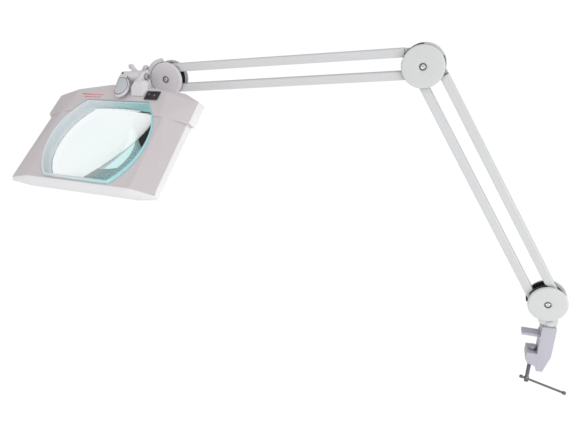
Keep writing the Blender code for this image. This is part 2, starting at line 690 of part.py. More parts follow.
def switch_box(half_x, half_y, low, high, bevel=0.0):
    return box(SWITCH_X - half_x, SWITCH_X + half_x, SWITCH_Y - half_y, SWITCH_Y + half_y,
               low, high, bevel)


def switch(parent):
    housing = put("switch_housing", switch_box(12.6, 8.2, 6.3, 7.9, 0.5), BLACK, parent)
    fuse(housing, switch_box(10.6, 6.4, -10, 7.0))
    cut(housing, switch_box(8.6, 4.9, -3, 20))
    rocker = frame("rocker_frame", parent, (SWITCH_X, SWITCH_Y, 6.6))
    put("switch_rocker", prism(ROCKER_OUTLINE, -4.5, 4.5, "Y", 0.4), BLACK, rocker)


LUG_X = EYE_END - TILT_AXIS.x + GAP   # inner face of the lug


def head_bracket(parent):
    """Hood that rises out of the bridge, with one lug right of the knuckle's eye."""
    axis = (0, AXIS_Y, AXIS_Z)
    bracket = put("head_bracket", hull(HOOD), SHELL, parent)
    cut(bracket, rod(11, 0, LUG_X, "X", axis))
    fuse(bracket, rod(9.2, LUG_X + 0.1, LUG_X + 8.0, "X", axis, 18),
         box(LUG_X + 0.15, LUG_X + 7.9, 104, 122, 6.85, 15.9))
    cut(bracket, rod(TILT_HOLE_R, -60, 90, "X", axis))


def tilt_bolt(parent):
    put("tilt_bolt", lathe([(0, LUG_X + 12.0), (5.0, LUG_X + 11.8), (5.6, LUG_X + 10.8),
                            (5.6, LUG_X + 8.4), (TILT_BOLT_R, LUG_X + 8.4),
                            (TILT_BOLT_R, -6), (0, -6)], 20, "X"), STEEL, parent)


def tilt_paddle_knob(parent):
    """Hub on the tilt bolt with one large teardrop ear lying forward."""
    hub_end = EYE_START - TILT_AXIS.x - GAP
    knob = put("tilt_paddle_knob",
               lathe([(0, -14.5), (5.2, -14.5), (7.4, -13.2), (8.0, -11.0),
                      (8.0, hub_end - 0.6), (7.4, hub_end), (0, hub_end)], 16, "X"),
               SHELL, parent)
    ear = [(-13.0, -4), (2.4, -4), (3.4, -10.6), (9.5, -14), (15.6, -22), (19.0, -30)] + \
        arc(12.6, 12, -178, 10, 7.2, -37.0) + [(-8.6, -26), (-12.6, -13)]
    fuse(knob, turned(prism(ear, 2.8, 7.2, "Z", 1.3), -3, "X"))
    cut(knob, rod(TILT_HOLE_R, -8.2, 40, "X"))


# ==== assembly ==============================================================
clamp_frame = frame("clamp_frame", None, (PIN_X, 0, 0))
clamp_body(clamp_frame)
swivel_bush(clamp_frame)
screw_frame = frame("screw_frame", clamp_frame, (SCREW_X, 0, 0))
clamp_screw(screw_frame)
sliding_bar(frame("tbar_frame", screw_frame, (0, 0, TBAR_Z), (0, 0, TBAR_TURN)))

base_frame = frame("base_frame", clamp_frame, (BASE_X, 0, BASE_Z))
base_joint(base_frame)
lower_arm(base_frame)

elbow_frame = frame("elbow_frame", None, ELBOW)
elbow_joint(elbow_frame)
upper_arm(elbow_frame)

wrist_frame = frame("wrist_frame", None, WRIST)
wrist_joint(wrist_frame)

cant_frame = frame("cant_frame", wrist_frame, (0, 0, 0), (0, WRIST_CANT, 0))
swivel_frame = frame("swivel_frame", cant_frame, (SWIVEL_X, 0, 0), (0, 0, HEAD_YAW))
swivel_knuckle(swivel_frame)
swivel_bolt(swivel_frame)
swivel_wing_knob(frame("knob_a_frame", swivel_frame, (0, 0, -8.0), (0, 0, -12)))

head_frame = frame("head_frame", swivel_frame, TILT_AXIS, (HEAD_TILT, 0, 0))
lens_frame = frame("lens_frame", head_frame, (0, -AXIS_Y, -AXIS_Z))
head_shells(lens_frame)
lens_collar(lens_frame)
magnifying_lens(lens_frame)
lamp("left", -1, lens_frame)
lamp("right", 1, lens_frame)
ballast(lens_frame)
switch(lens_frame)
head_bracket(lens_frame)
tilt_bolt(head_frame)
tilt_paddle_knob(head_frame)
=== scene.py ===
# A magnifying lamp: a screw clamp, a two-part folding arm and a swivelling, tilting head with
# a lens between two lamps. The arm folds in the XZ plane with the head towards -X. +Z is up
# and the front faces -Y. Shapes are written in millimetres, each in the frame of its body.
import json
import math

import bmesh
import bpy
from mathutils import Matrix, Vector


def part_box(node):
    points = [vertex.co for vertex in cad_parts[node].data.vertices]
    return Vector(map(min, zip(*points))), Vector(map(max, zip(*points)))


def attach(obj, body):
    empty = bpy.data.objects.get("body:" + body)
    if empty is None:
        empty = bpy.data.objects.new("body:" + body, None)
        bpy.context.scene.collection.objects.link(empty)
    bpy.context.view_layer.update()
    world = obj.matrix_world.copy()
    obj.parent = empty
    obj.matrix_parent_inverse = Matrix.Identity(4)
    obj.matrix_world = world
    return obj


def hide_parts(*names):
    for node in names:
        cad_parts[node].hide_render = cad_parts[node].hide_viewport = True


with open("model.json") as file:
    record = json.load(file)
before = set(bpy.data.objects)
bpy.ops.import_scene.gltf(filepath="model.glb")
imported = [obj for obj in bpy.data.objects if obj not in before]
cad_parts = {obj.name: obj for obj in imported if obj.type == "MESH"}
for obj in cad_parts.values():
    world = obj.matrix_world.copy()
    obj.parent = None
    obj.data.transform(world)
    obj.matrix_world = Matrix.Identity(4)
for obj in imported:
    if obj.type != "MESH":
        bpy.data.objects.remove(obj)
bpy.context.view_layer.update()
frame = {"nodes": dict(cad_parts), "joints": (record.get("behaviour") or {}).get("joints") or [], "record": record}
NODES = frame["nodes"]
MM = 0.001                      # metres in a millimetre

# --------------------------------------------------------------------------
# body frames, from the joints and the boxes of the CAD nodes
# --------------------------------------------------------------------------
JOINTS = {joint["name"]: joint for joint in frame["joints"]}
SIDES = (("front", -1), ("rear", 1))        # sign along Y


def joint_point(name):
    return Vector(JOINTS[name]["pos_m"]) * 1000


def joint_axis(name):
    return Vector(JOINTS[name]["axis"]).normalized()


def centre_of(*nodes):
    """Centre of the box around the nodes."""
    corners = [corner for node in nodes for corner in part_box(node)]
    low = Vector([min(c[i] for c in corners) for i in range(3)])
    high = Vector([max(c[i] for c in corners) for i in range(3)])
    return (low + high) / 2 * 1000


def frame_at(origin, x, z):
    x, z = x.normalized(), z.normalized()
    y = z.cross(x)
    matrix = Matrix((x, y, z)).transposed().to_4x4()
    matrix.translation = origin
    return matrix


BASE = centre_of("base_cover_front", "base_cover_rear")
ELBOW = centre_of("elbow_centre_bolt")
ELBOW.y = 0
WRIST = centre_of("wrist_cover_front", "wrist_cover_rear")
CLAMP_FRAME = Matrix.Translation((joint_point("base_swivel").x, 0, 0))
SCREW_FRAME = Matrix.Translation((joint_point("clamp_screw_turn").x, 0, 0))
BASE_FRAME = Matrix.Translation(BASE)
ELBOW_FRAME = Matrix.Translation(ELBOW)
WRIST_FRAME = Matrix.Translation(WRIST)

# The head's X runs along the tilt axis, its Z out of the top of the lens.
HEAD_X = joint_axis("head_tilt")
HEAD_Y = joint_axis("power_switch_rock")
HEAD_Z = HEAD_X.cross(HEAD_Y).normalized()
TILT_Y, TILT_Z = 124.3, 7.0                 # tilt axis in the head frame
TILT_POINT = joint_point("head_tilt")
SWIVEL_FRAME = frame_at(joint_point("head_swivel"), HEAD_X, -joint_axis("head_swivel"))
TILT_FRAME = frame_at(TILT_POINT, HEAD_X, HEAD_Z)
HEAD_FRAME = frame_at(TILT_POINT - HEAD_Y * TILT_Y - HEAD_Z * TILT_Z, HEAD_X, HEAD_Z)


# --------------------------------------------------------------------------
# shader building
# --------------------------------------------------------------------------
class Shader:
    """Builds the node tree of a material or a world."""

    def __init__(self, owner):
        owner.use_nodes = True
        self.owner = owner
        self.nodes = owner.node_tree.nodes
        self.links = owner.node_tree.links
        self.coords = None

    def feed(self, socket, value):
        """Links a socket or sets a value; colours are given as RGB."""
        if hasattr(value, "is_linked"):
            self.links.new(value, socket)
        elif socket.type == "RGBA":
            socket.default_value = (*value, 1)
        else:
            socket.default_value = value

    def fill(self, node, inputs):
        for key, value in inputs.items():
            self.feed(node.inputs[key], value)

    def node(self, kind, inputs, **properties):
        node = self.nodes.new("ShaderNode" + kind)
        for key, value in properties.items():
            setattr(node, key, value)
        self.fill(node, inputs)
        return node

    def coord(self):
        if self.coords is None:
            self.coords = self.node("TexCoord", {}).outputs["Object"]
        return self.coords

    def noise(self, scale, detail=3.0, rough=0.5, vector=None):
        return self.node("TexNoise", {
            "Scale": scale, "Detail": detail, "Roughness": rough,
            "Vector": vector or self.coord()}).outputs["Fac"]

    def two_tone(self, fac, dark, light):
        """Ramp between two colours, over the middle of a noise's range."""
        ramp = self.node("ValToRGB", {"Fac": fac})
        stops = ((0.3, dark), (0.7, light))
        for element, (position, colour) in zip(ramp.color_ramp.elements, stops):
            element.position = position
            element.color = (*colour, 1)
        return ramp.outputs["Color"]

    def maths(self, operation, first, second):
        return self.node("Math", {0: first, 1: second}, operation=operation).outputs[0]

    def remap(self, value, source, target):
        return self.node("MapRange", {
            "From Min": source[0], "From Max": source[1],
            "To Min": target[0], "To Max": target[1], "Value": value}).outputs["Result"]

    def mix(self, fac, first, second):
        return self.node("Mix", {0: fac, 6: first, 7: second}, data_type="RGBA").outputs[2]

    def bump(self, height, strength, distance):
        return self.node("Bump", {"Strength": strength, "Distance": distance,
                                  "Height": height}).outputs["Normal"]

    def gloss(self, low, high):
        """Roughness in soft patches."""
        return self.remap(self.noise(scale=35, detail=4, rough=0.6), (0.3, 0.7), (low, high))

    def principled(self, inputs):
        self.fill(self.nodes["Principled BSDF"], inputs)
        return self.owner

    def output(self, name, socket):
        self.feed(self.nodes["Material Output"].inputs[name], socket)


def new_shader(name):
    return Shader(bpy.data.materials.new(name))


def toned(colour, factor, lift=0.0):
    return tuple(min(1, c * factor + lift) for c in colour)


def coated(name, colour, rough, peel, tint=0.03, crease_shade_amount=0.10, peel_scale=900):
    """Sprayed enamel or moulded plastic: orange-peel bump, mottled gloss,
    faint tone drift, a painted highlight that makes edges a touch lighter, painted
    shade that makes creases a touch darker in mottled patches, and painted shade
    from ambient occlusion in hollows."""
    shader = new_shader(name)
    tone = shader.two_tone(shader.noise(scale=9, detail=4, rough=0.55),
                           toned(colour, 1 - tint), toned(colour, 1 + tint))
    pointiness = shader.node("NewGeometry", {}).outputs["Pointiness"]
    # painted shade: creases are darkened, in mottled patches
    crease = shader.remap(pointiness, (0.40, 0.50), (1.0, 0.0))
    crease_shade_mottle = shader.noise(scale=60, detail=5, rough=0.65)
    crease_shade = shader.maths("MULTIPLY", crease, shader.remap(crease_shade_mottle, (0.35, 0.65), (0.2, 1.0)))
    crease_shade = shader.maths("MULTIPLY", crease_shade, crease_shade_amount)
    tone = shader.mix(crease_shade, tone, toned(colour, 0.45))
    # painted highlight: convex edges are a touch lighter, as where light catches them
    edge = shader.remap(pointiness, (0.52, 0.62), (0.0, 0.35))
    tone = shader.mix(edge, tone, toned(colour, 1.12, lift=0.02))
    occlusion = shader.node("AmbientOcclusion", {"Distance": 0.007}, samples=6).outputs["AO"]
    shade = shader.remap(occlusion, (0.25, 0.85), (0.62, 0.0))
    tone = shader.mix(shade, tone, toned(colour, 0.35))
    gloss = shader.gloss(rough - 0.06, rough + 0.07)
    fine = shader.noise(scale=peel_scale, detail=2)
    wide = shader.noise(scale=peel_scale / 4, detail=2)
    height = shader.maths("ADD", fine, shader.maths("MULTIPLY", wide, 0.6))
    return shader.principled({
        "Base Color": tone, "Roughness": gloss,
        "Normal": shader.bump(height, strength=peel, distance=0.00012),
        "Coat Weight": 0.12, "Coat Roughness": 0.25})


def metal(name, colour, rough, streak=(1, 1, 1), scale=120, depth=0.08):
    """Bare or plated metal; streak stretches the noise into tool lines."""
    shader = new_shader(name)
    stretched = shader.node("Mapping", {"Scale": streak, "Vector": shader.coord()})
    lines = shader.noise(scale, detail=4, rough=0.6, vector=stretched.outputs["Vector"])
    blot = shader.noise(scale=120, detail=4, rough=0.6)
    tone = shader.mix(shader.remap(blot, (0.45, 0.75), (0.0, 0.55)), colour,
                      toned(colour, 0.72))
    return shader.principled({
        "Base Color": tone, "Metallic": 1.0,
        "Roughness": shader.remap(lines, (0.2, 0.8), (rough * 0.7, rough * 1.5)),
        "Normal": shader.bump(lines, strength=depth, distance=0.00008)})


# --------------------------------------------------------------------------
# materials
# --------------------------------------------------------------------------
ENAMEL = coated("enamel_white", (0.72, 0.725, 0.735), rough=0.34, peel=0.16, tint=0.02,
                crease_shade_amount=0.20)
COVER_ENAMEL = coated("enamel_cover", (0.745, 0.76, 0.75), rough=0.30, peel=0.16, tint=0.02,
                      crease_shade_amount=0.25)
WRIST_ENAMEL = coated("enamel_wrist", (0.74, 0.715, 0.74), rough=0.30, peel=0.16, tint=0.02,
                      crease_shade_amount=0.25)
BRIGHT_METAL = metal("screw_bright", (0.78, 0.78, 0.80), rough=0.12, depth=0.05)
RECESS_SHADE_METAL = metal("screw_dark_plate", (0.07, 0.07, 0.075), rough=0.22, depth=0.1)
# dark brown of the painted shadow round the paddle's edge
SHADOW_BROWN = coated("paddle_rim_brown", (0.16, 0.13, 0.13), rough=0.35, peel=0.1, tint=0.1,
                   crease_shade_amount=0.0)
SHELL_PINK = coated("shell_grey_pink", (0.735, 0.675, 0.695), rough=0.42, peel=0.30,
                    tint=0.02, crease_shade_amount=0.16, peel_scale=1300)
# white copy of the shell plastic: painted light on the head's lit faces and bottom shell; the lamp caps are plain
# white
SHELL_WHITE_AND_LIT = coated("shell_white", (0.94, 0.94, 0.96), rough=0.40, peel=0.30, tint=0.02,
                     peel_scale=1300)
KNOB_SATIN = coated("knob_satin", (0.80, 0.775, 0.80), rough=0.16, peel=0.08, crease_shade_amount=0.45,
                    peel_scale=1300)
CAST = coated("cast_lavender", (0.56, 0.555, 0.63), rough=0.42, peel=0.75, tint=0.05,
              crease_shade_amount=0.35, peel_scale=500)
BLACK = coated("black_satin", (0.018, 0.018, 0.02), rough=0.42, peel=0.25, tint=0.10,
               crease_shade_amount=0.0, peel_scale=1200)
MARK_WHITE = coated("mark_white", (0.80, 0.80, 0.80), rough=0.5, peel=0.1, tint=0.05,
                    crease_shade_amount=0.0)
STRIPE_RED = coated("stripe_red", (0.72, 0.10, 0.11), rough=0.5, peel=0.1, tint=0.05,
                    crease_shade_amount=0.0)
KNOB_INLAY = coated("knob_inlay", (0.66, 0.68, 0.72), rough=0.12, peel=0.05,
                    peel_scale=1300)
CHROME = metal("chrome_plate", (0.22, 0.22, 0.235), rough=0.18, streak=(1, 1, 60), scale=220)
STEEL = metal("turned_steel", (0.50, 0.50, 0.52), rough=0.30, streak=(40, 40, 1), scale=60,
              depth=0.12)


def collar_glint_material():
    """Pale plastic with a painted aqua reflection that grows towards +X."""
    shader = new_shader("collar_aqua")
    split = shader.node("SeparateXYZ", {0: shader.coord()})
    ripple = shader.maths("MULTIPLY", shader.noise(scale=20), 0.02)
    # painted reflection: an aqua glint laid on the +X side of the collar
    side = shader.remap(shader.maths("ADD", split.outputs[0], ripple),
                        (-0.72, -0.60), (0.0, 1.0))
    return shader.principled({
        "Base Color": shader.mix(side, (0.84, 0.91, 0.94), (0.42, 0.80, 0.82)),
        "Roughness": shader.gloss(0.22, 0.34),
        "Normal": shader.bump(shader.noise(scale=900, detail=2), strength=0.12,
                              distance=0.0001)})


def glass_material():
    """Clear glass with a faint aqua tint in its depth."""
    shader = new_shader("lens_glass_clear")
    volume = shader.node("VolumeAbsorption", {"Color": (0.55, 0.93, 0.92), "Density": 5.0})
    shader.output("Volume", volume.outputs[0])
    return shader.principled({
        "Base Color": (0.985, 1.0, 1.0), "Roughness": 0.01, "IOR": 1.5,
        "Transmission Weight": 1.0,
        "Normal": shader.bump(shader.noise(scale=14, detail=2, rough=0.4), strength=0.01,
                              distance=0.0002)})


def frosted_material():
    """Translucent sheet with fine ribs."""
    shader = new_shader("frosted_sheet")
    ribs = shader.node("TexWave", {"Scale": 260, "Vector": shader.coord()})
    return shader.principled({
        "Base Color": shader.two_tone(shader.noise(scale=40), (0.86, 0.89, 0.89),
                                      (0.92, 0.94, 0.94)),
        "Roughness": 0.55, "Transmission Weight": 0.35,
        "Normal": shader.bump(ribs.outputs["Fac"], strength=0.5, distance=0.0004)})


def lamp_material():
    """Glossy off-white tube glass."""
    shader = new_shader("phosphor_glass")
    return shader.principled({
        "Base Color": shader.two_tone(shader.noise(scale=30), (0.90, 0.90, 0.87),
                                      (0.95, 0.95, 0.93)),
        "Roughness": 0.18, "Coat Weight": 0.5,
        "Normal": shader.bump(shader.noise(scale=300, detail=2), strength=0.03,
                              distance=0.0002)})


COLLAR_AQUA_GLINT = collar_glint_material()
GLASS = glass_material()
FROSTED = frosted_material()
LAMP_GLASS = lamp_material()
BY_SLOT = {"white_enamel": ENAMEL, "shell_plastic": SHELL_PINK, "black_plastic": BLACK,
           "chrome": CHROME, "steel": STEEL, "cast_metal": CAST, "lens_glass": GLASS,
           "frosted_plastic": FROSTED, "lamp_glass": LAMP_GLASS}
SLOT_OF = {part["node"]: part["material_slot"] for part in frame["record"]["subparts"]}


def paint(obj, material):
    obj.data.materials.clear()
    obj.data.materials.append(material)


def smooth(obj, sharp):
    """Shades smooth, except over edges sharper than the angle in degrees."""
    obj.data.polygons.foreach_set("use_smooth", [True] * len(obj.data.polygons))
    obj.data.set_sharp_from_angle(angle=math.radians(sharp))


for name, node in NODES.items():
    paint(node, BY_SLOT[SLOT_OF[name]])
    smooth(node, 35)


# --------------------------------------------------------------------------
# outlines and solids, in millimetres in a body's frame
# --------------------------------------------------------------------------
# Puts a flat point (a, b) at a distance t along the named axis.
PLACE = {"X": lambda a, b, t: (t, a, b), "Y": lambda a, b, t: (a, t, b),
         "Z": lambda a, b, t: (a, b, t)}


def arc(radius, start, end, steps, centre=(0, 0)):
    """Points on an arc between two angles in degrees."""
    angles = [math.radians(start + (end - start) * i / steps) for i in range(steps + 1)]
    return [(centre[0] + radius * math.cos(t), centre[1] + radius * math.sin(t))
            for t in angles]


def circle(radius, steps):
    return arc(radius, 0, 360, steps)[:-1]


def arc_band(outer, inner, start, end, steps):
    return arc(outer, start, end, steps) + arc(inner, end, start, steps)


def lathe(profile, segs=96, axis="Y", centre=(0, 0, 0)):
    """Turns (radius, height) points about an axis. A profile that starts off
    the axis is closed into a ring."""
    mesh = bmesh.new()
    place = PLACE[axis]
    angles = [2 * math.pi * i / segs for i in range(segs)]
    rings = []
    for radius, height in profile:
        if radius == 0:
            rings.append([mesh.verts.new(place(0, 0, height))])
        else:
            rings.append([mesh.verts.new(place(radius * math.cos(t), radius * math.sin(t),
                                               height)) for t in angles])
    pairs = list(zip(rings, rings[1:]))
    if profile[0][0] != 0:
        pairs.append((rings[-1], rings[0]))
    for low, top in pairs:
        for i in range(segs):
            j = (i + 1) % segs
            corners = []
            for vert in (low[i % len(low)], low[j % len(low)],
                         top[j % len(top)], top[i % len(top)]):
                if vert not in corners:
                    corners.append(vert)
            if len(corners) > 2:
                mesh.faces.new(corners)
    bmesh.ops.translate(mesh, vec=centre, verts=mesh.verts)
    bmesh.ops.recalc_face_normals(mesh, faces=mesh.faces)
    return mesh


def cyl(radius, low, high, axis="Y", centre=(0, 0, 0), segs=48):
    return lathe([(0, low), (radius, low), (radius, high), (0, high)], segs, axis, centre)


def rounded(mesh, width):
    """Rounds every edge of a convex body."""
    bmesh.ops.bevel(mesh, geom=list(mesh.edges), offset=width, segments=3, profile=0.5,
                    affect="EDGES", clamp_overlap=True)
    bmesh.ops.recalc_face_normals(mesh, faces=mesh.faces)
    return mesh


def box(x0, x1, y0, y1, z0, z1):
    mesh = bmesh.new()
    bmesh.ops.create_cube(mesh, size=1)
    for vert in mesh.verts:
        x, y, z = vert.co
        vert.co = Vector((x0 if x < 0 else x1, y0 if y < 0 else y1, z0 if z < 0 else z1))
    bmesh.ops.recalc_face_normals(mesh, faces=mesh.faces)
    return mesh


def prism(outline, low, high, axis="Y"):
    mesh = bmesh.new()
    place = PLACE[axis]
    bottom = [mesh.verts.new(place(a, b, low)) for a, b in outline]
    top = [mesh.verts.new(place(a, b, high)) for a, b in outline]
    mesh.faces.new(bottom)
    mesh.faces.new(top)
    count = len(outline)
    for i in range(count):
        j = (i + 1) % count
        mesh.faces.new((bottom[i], bottom[j], top[j], top[i]))
    bmesh.ops.recalc_face_normals(mesh, faces=mesh.faces)
    return mesh


def turned(mesh, degrees, axis):
    bmesh.ops.rotate(mesh, verts=mesh.verts, cent=(0, 0, 0),
                     matrix=Matrix.Rotation(math.radians(degrees), 3, axis))
    return mesh


def mirrored(points):
    return [(sign * x, y, z) for x, y, z in points for sign in (-1, 1)]


def hull(points):
    mesh = bmesh.new()
    for point in points:
        mesh.verts.new(point)
    bmesh.ops.convex_hull(mesh, input=mesh.verts)
    bmesh.ops.dissolve_limit(mesh, angle_limit=0.001, verts=mesh.verts, edges=mesh.edges)
    loose = [vert for vert in mesh.verts if not vert.link_faces]
    bmesh.ops.delete(mesh, geom=loose, context="VERTS")
    bmesh.ops.recalc_face_normals(mesh, faces=mesh.faces)
    return mesh


def thread(radius, depth, pitch, z0, z1, segs=40, rows=7):
    """Cylinder with a helical V thread that fades out at both ends."""
    mesh = bmesh.new()
    count = int((z1 - z0) / pitch * rows)
    rings = []
    for i in range(count + 1):
        z = z0 + (z1 - z0) * i / count
        fade = max(0.0, min(1.0, (z - z0) / 1.2, (z1 - z) / 1.2))
        ring = []
        for k in range(segs):
            angle = 2 * math.pi * k / segs
            phase = (z / pitch - k / segs) % 1.0
            crest = 1 - abs(2 * phase - 1)
            r = radius - depth * fade * (1 - min(1.0, crest * 1.35))
            ring.append(mesh.verts.new((r * math.cos(angle), r * math.sin(angle), z)))
        rings.append(ring)
    for low, top in zip(rings, rings[1:]):
        for k in range(segs):
            j = (k + 1) % segs
            mesh.faces.new((low[k], low[j], top[j], top[k]))
    mesh.faces.new(rings[0][::-1])
    mesh.faces.new(rings[-1])
    bmesh.ops.recalc_face_normals(mesh, faces=mesh.faces)
    return mesh


# --------------------------------------------------------------------------
# objects
# --------------------------------------------------------------------------
def to_object(name, mesh, at):
    bmesh.ops.transform(mesh, matrix=Matrix.Scale(MM, 4) @ at, verts=mesh.verts)
    data = bpy.data.meshes.new(name)
    mesh.to_mesh(data)
    mesh.free()
    obj = bpy.data.objects.new(name, data)
    bpy.context.scene.collection.objects.link(obj)
    return obj


def apply_all(obj):
    depsgraph = bpy.context.evaluated_depsgraph_get()
    depsgraph.update()
    data = bpy.data.meshes.new_from_object(obj.evaluated_get(depsgraph))
    obj.modifiers.clear()
    old = obj.data
    obj.data = data
    bpy.data.meshes.remove(old)


def add_bevel(obj, name, width, segs, angle):
    bevel = obj.modifiers.new(name, "BEVEL")
    bevel.width = width * MM
    bevel.segments = segs
    bevel.limit_method = "ANGLE"
    bevel.angle_limit = math.radians(angle)
    bevel.use_clamp_overlap = True
    return bevel


def piece(name, mesh, at, body, material, cuts=(), joins=(), meets=(), bevel=0.0,
          segs=3, angle=30, sharp=35, replaces=None, late=(), blob=None, shade=None):
    """Builds a finished piece: booleans, then rounded edges, then late cuts.
    blob melts the shape together: (voxel size, smoothing passes)."""
    obj = to_object(name, mesh, at)
    tools = []

    def combine(operation, meshes):
        for shape in meshes:
            tool = to_object(name + "_tool", shape, at)
            boolean = obj.modifiers.new("boolean", "BOOLEAN")
            boolean.operation = operation
            boolean.solver = "EXACT"
            boolean.object = tool
            tools.append(tool)

    combine("UNION", joins)
    combine("DIFFERENCE", cuts)
    combine("INTERSECT", meets)
    if bevel:
        add_bevel(obj, "bevel", bevel, segs, angle).miter_outer = "MITER_ARC"
    if blob:
        remesh = obj.modifiers.new("remesh", "REMESH")
        remesh.mode = "VOXEL"
        remesh.voxel_size = blob[0] * MM
        relax = obj.modifiers.new("smooth", "SMOOTH")
        relax.factor = 0.5
        relax.iterations = blob[1]
    combine("DIFFERENCE", late)
    apply_all(obj)
    if len(obj.data.polygons) < 6:
        raise ValueError("nothing left of " + name)
    for tool in tools:
        bpy.data.objects.remove(tool)
    smooth(obj, sharp)
    paint(obj, material)
    if shade:
        shade(obj)
    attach(obj, body)
    if replaces:
        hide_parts(replaces)


def soften(node, width):
    """Rounds the edges of a CAD node in place."""
    weld = NODES[node].modifiers.new("weld", "WELD")
    weld.merge_threshold = 0.00002
    add_bevel(NODES[node], "round", width, segs=3, angle=28)


# --------------------------------------------------------------------------
# arm joints: covers, cross screws, black arcs of painted shadow
# --------------------------------------------------------------------------
COVER_FACE, COVER_RIM = 15.5, 10.4          # distances from the arm's middle plane
SCREW_HUB = 4.4                             # radius round the screw in a cover
# body, frame, cover radius, turn of the screw's cross in radians
ARM_JOINTS = (("base", BASE_FRAME, 30.0, 0.5), ("elbow", ELBOW_FRAME, 31.5, 0.35),
              ("wrist", WRIST_FRAME, 27.8, 0.62))


def cover_profile(radius, sign):
    face, hub = COVER_FACE, SCREW_HUB
    points = [(hub - 0.4, face - 2.4), (radius - 2.2, face - 2.4),
              (radius - 2.2, COVER_RIM), (radius, COVER_RIM)]
    for i in range(9):                      # rounded outer rim
        t = math.radians(90 * i / 8)
        points.append((radius - 2.6 * (1 - math.cos(t)),
                       face - 2.2 * (1 - math.sin(t)) - 0.25))
    points += [(radius - 6.0, face - 0.12), (radius - 12.0, face - 0.02),
               (hub + 3.2, face - 0.02), (hub + 2.6, face - 0.12),
               (hub + 1.4, face - 0.75), (hub + 1.0, face - 0.85),
               (hub - 0.4, face - 0.85)]
    return [(r, sign * y) for r, y in points]


for body, at, radius, _ in ARM_JOINTS:
    for side, sign in SIDES:
        joins = []
        if (body, side) == ("elbow", "rear"):
            joins = [prism(arc_band(31.45, 29.2, 30, 94, 40), -10.0, 12.5)]
        piece(f"{body}_cap_{side}", lathe(cover_profile(radius, sign), 128), at, body,
              WRIST_ENAMEL if body == "wrist" else COVER_ENAMEL,
              joins=joins, replaces=f"{body}_cover_{side}", sharp=32)

# low domed head at the front, shank reaching to the rear cover
HEAD = -COVER_FACE
DOME = [(4.1 * math.sin(math.radians(a)), HEAD + 0.75 - 1.2 * math.cos(math.radians(a)))
        for a in (12, 25, 40, 55, 70, 82)]
SCREW_PROFILE = ([(0, HEAD - 0.45)] + DOME
                 + [(4.15, HEAD + 0.8), (3.0, HEAD + 0.8),
                    (3.0, COVER_FACE - 1.2), (0, COVER_FACE - 1.2)])
# a dark ring round each screw head: painted shade in the cover's recess
RECESS_SHADE_PROFILE = [(4.2, HEAD - 0.12), (5.0, HEAD - 0.12), (5.0, HEAD + 0.7), (4.2, HEAD + 0.7)]
SLOT_LONG, SLOT_WIDE = 2.4, 0.42            # half sizes of the cross recess
for body, at, _, spin in ARM_JOINTS:
    cross = [box(-a, a, HEAD - 3, HEAD + 0.9, -b, b)
             for a, b in ((SLOT_LONG, SLOT_WIDE), (SLOT_WIDE, SLOT_LONG))]
    piece(f"{body}_cross_screw", lathe(SCREW_PROFILE, 48), at @ Matrix.Rotation(spin, 4, "Y"),
          body, BRIGHT_METAL, cuts=cross, replaces=f"{body}_centre_bolt")
    piece(f"{body}_screw_seat", lathe(RECESS_SHADE_PROFILE, 64), at, body, RECESS_SHADE_METAL)

# black arcs as painted shadow: the dark shadow lines between the covers and the bars behind them:
# name, frame, outer radius, inner radius, start angle, end angle, y from, y to
SHADOW_ARCS = (("elbow_gasket_0", ELBOW_FRAME, 32.2, 29.6, 101, 160, -10.3, -8.9),
           ("elbow_gasket_1", ELBOW_FRAME, 32.0, 29.6, 171, 206, -10.3, -8.9),
           ("elbow_gasket_2", ELBOW_FRAME, 31.75, 29.6, 30, 94, -10.38, -10.02),
           ("wrist_gasket", WRIST_FRAME, 28.5, 26.0, 96, 150, -10.35, -9.9))
for name, at, outer, inner, start, end, y0, y1 in SHADOW_ARCS:
    piece(name, prism(arc_band(outer, inner, start, end, 48), y0, y1), at,
          name.split("_")[0], BLACK, sharp=30)

# --------------------------------------------------------------------------
# clamp, screw and sliding bar
# --------------------------------------------------------------------------
SCREW_X = SCREW_FRAME.translation.x - CLAMP_FRAME.translation.x
BAR_Z, BAR_TURN = -90.5, -21                # sliding bar's height and turn in degrees
# x, z
CLAMP_OUTLINE = [(-39, 0), (-11, 0), (-11, -29), (-27, -29), (-27.5, -42), (-23, -50),
                 (-11, -53), (-8, -62), (1.5, -62), (10.5, -31), (11, 22),
                 (9, 24), (-9, 24), (-11, 22), (-11, 4.6), (-38, 4.4), (-39, 3.6)]
# radius, z
BUSH_PROFILE = [(6.4, -13.5), (7.5, -13.5), (7.5, 23.4), (7.2, 23.8), (6.6, 23.8),
                (6.4, 23.5)]
SCREW_HEAD_PROFILE = [(0, -95.6), (2.6, -95.6), (3.3, -95.3), (3.8, -94.4), (3.8, -87.0),
                      (3.5, -86.2), (3.0, -85.4), (2.4, -84.6), (0, -84.6)]
SCREW_TIP_PROFILE = [(0, -31), (2.6, -31), (2.6, -29.8), (1.9, -29.0), (1.9, -25.3),
                     (1.4, -24.8), (0, -24.8)]
PAD_PROFILE = [(0, -22.4), (2.0, -22.4), (2.2, -22.6), (2.6, -22.6), (2.8, -22.4),
               (5.4, -22.4), (6.0, -22.9), (6.1, -23.4), (6.1, -27.4), (5.7, -28.3),
               (5.2, -28.6), (2.3, -28.6), (2.3, -24.4), (0, -24.4)]
# radius, distance along the bar
BAR_PROFILE = [(0, -11.8), (1.5, -11.7), (2.3, -11.1), (2.8, -9.9), (2.9, -8.6),
               (2.8, -7.3), (2.3, -6.1), (1.9, -5.6), (1.8, -5.2), (1.8, 57),
               (1.3, 57.4), (1.3, 60.5), (0, 60.5)]
BAR_CAP_PROFILE = [(0, 64.4), (1.4, 64.2), (2.3, 63.4), (2.9, 62.1), (3.0, 60.8),
                   (2.9, 59.5), (2.5, 58.4), (1.9, 57.8), (1.6, 57.8), (1.6, 60.9),
                   (0, 60.9)]

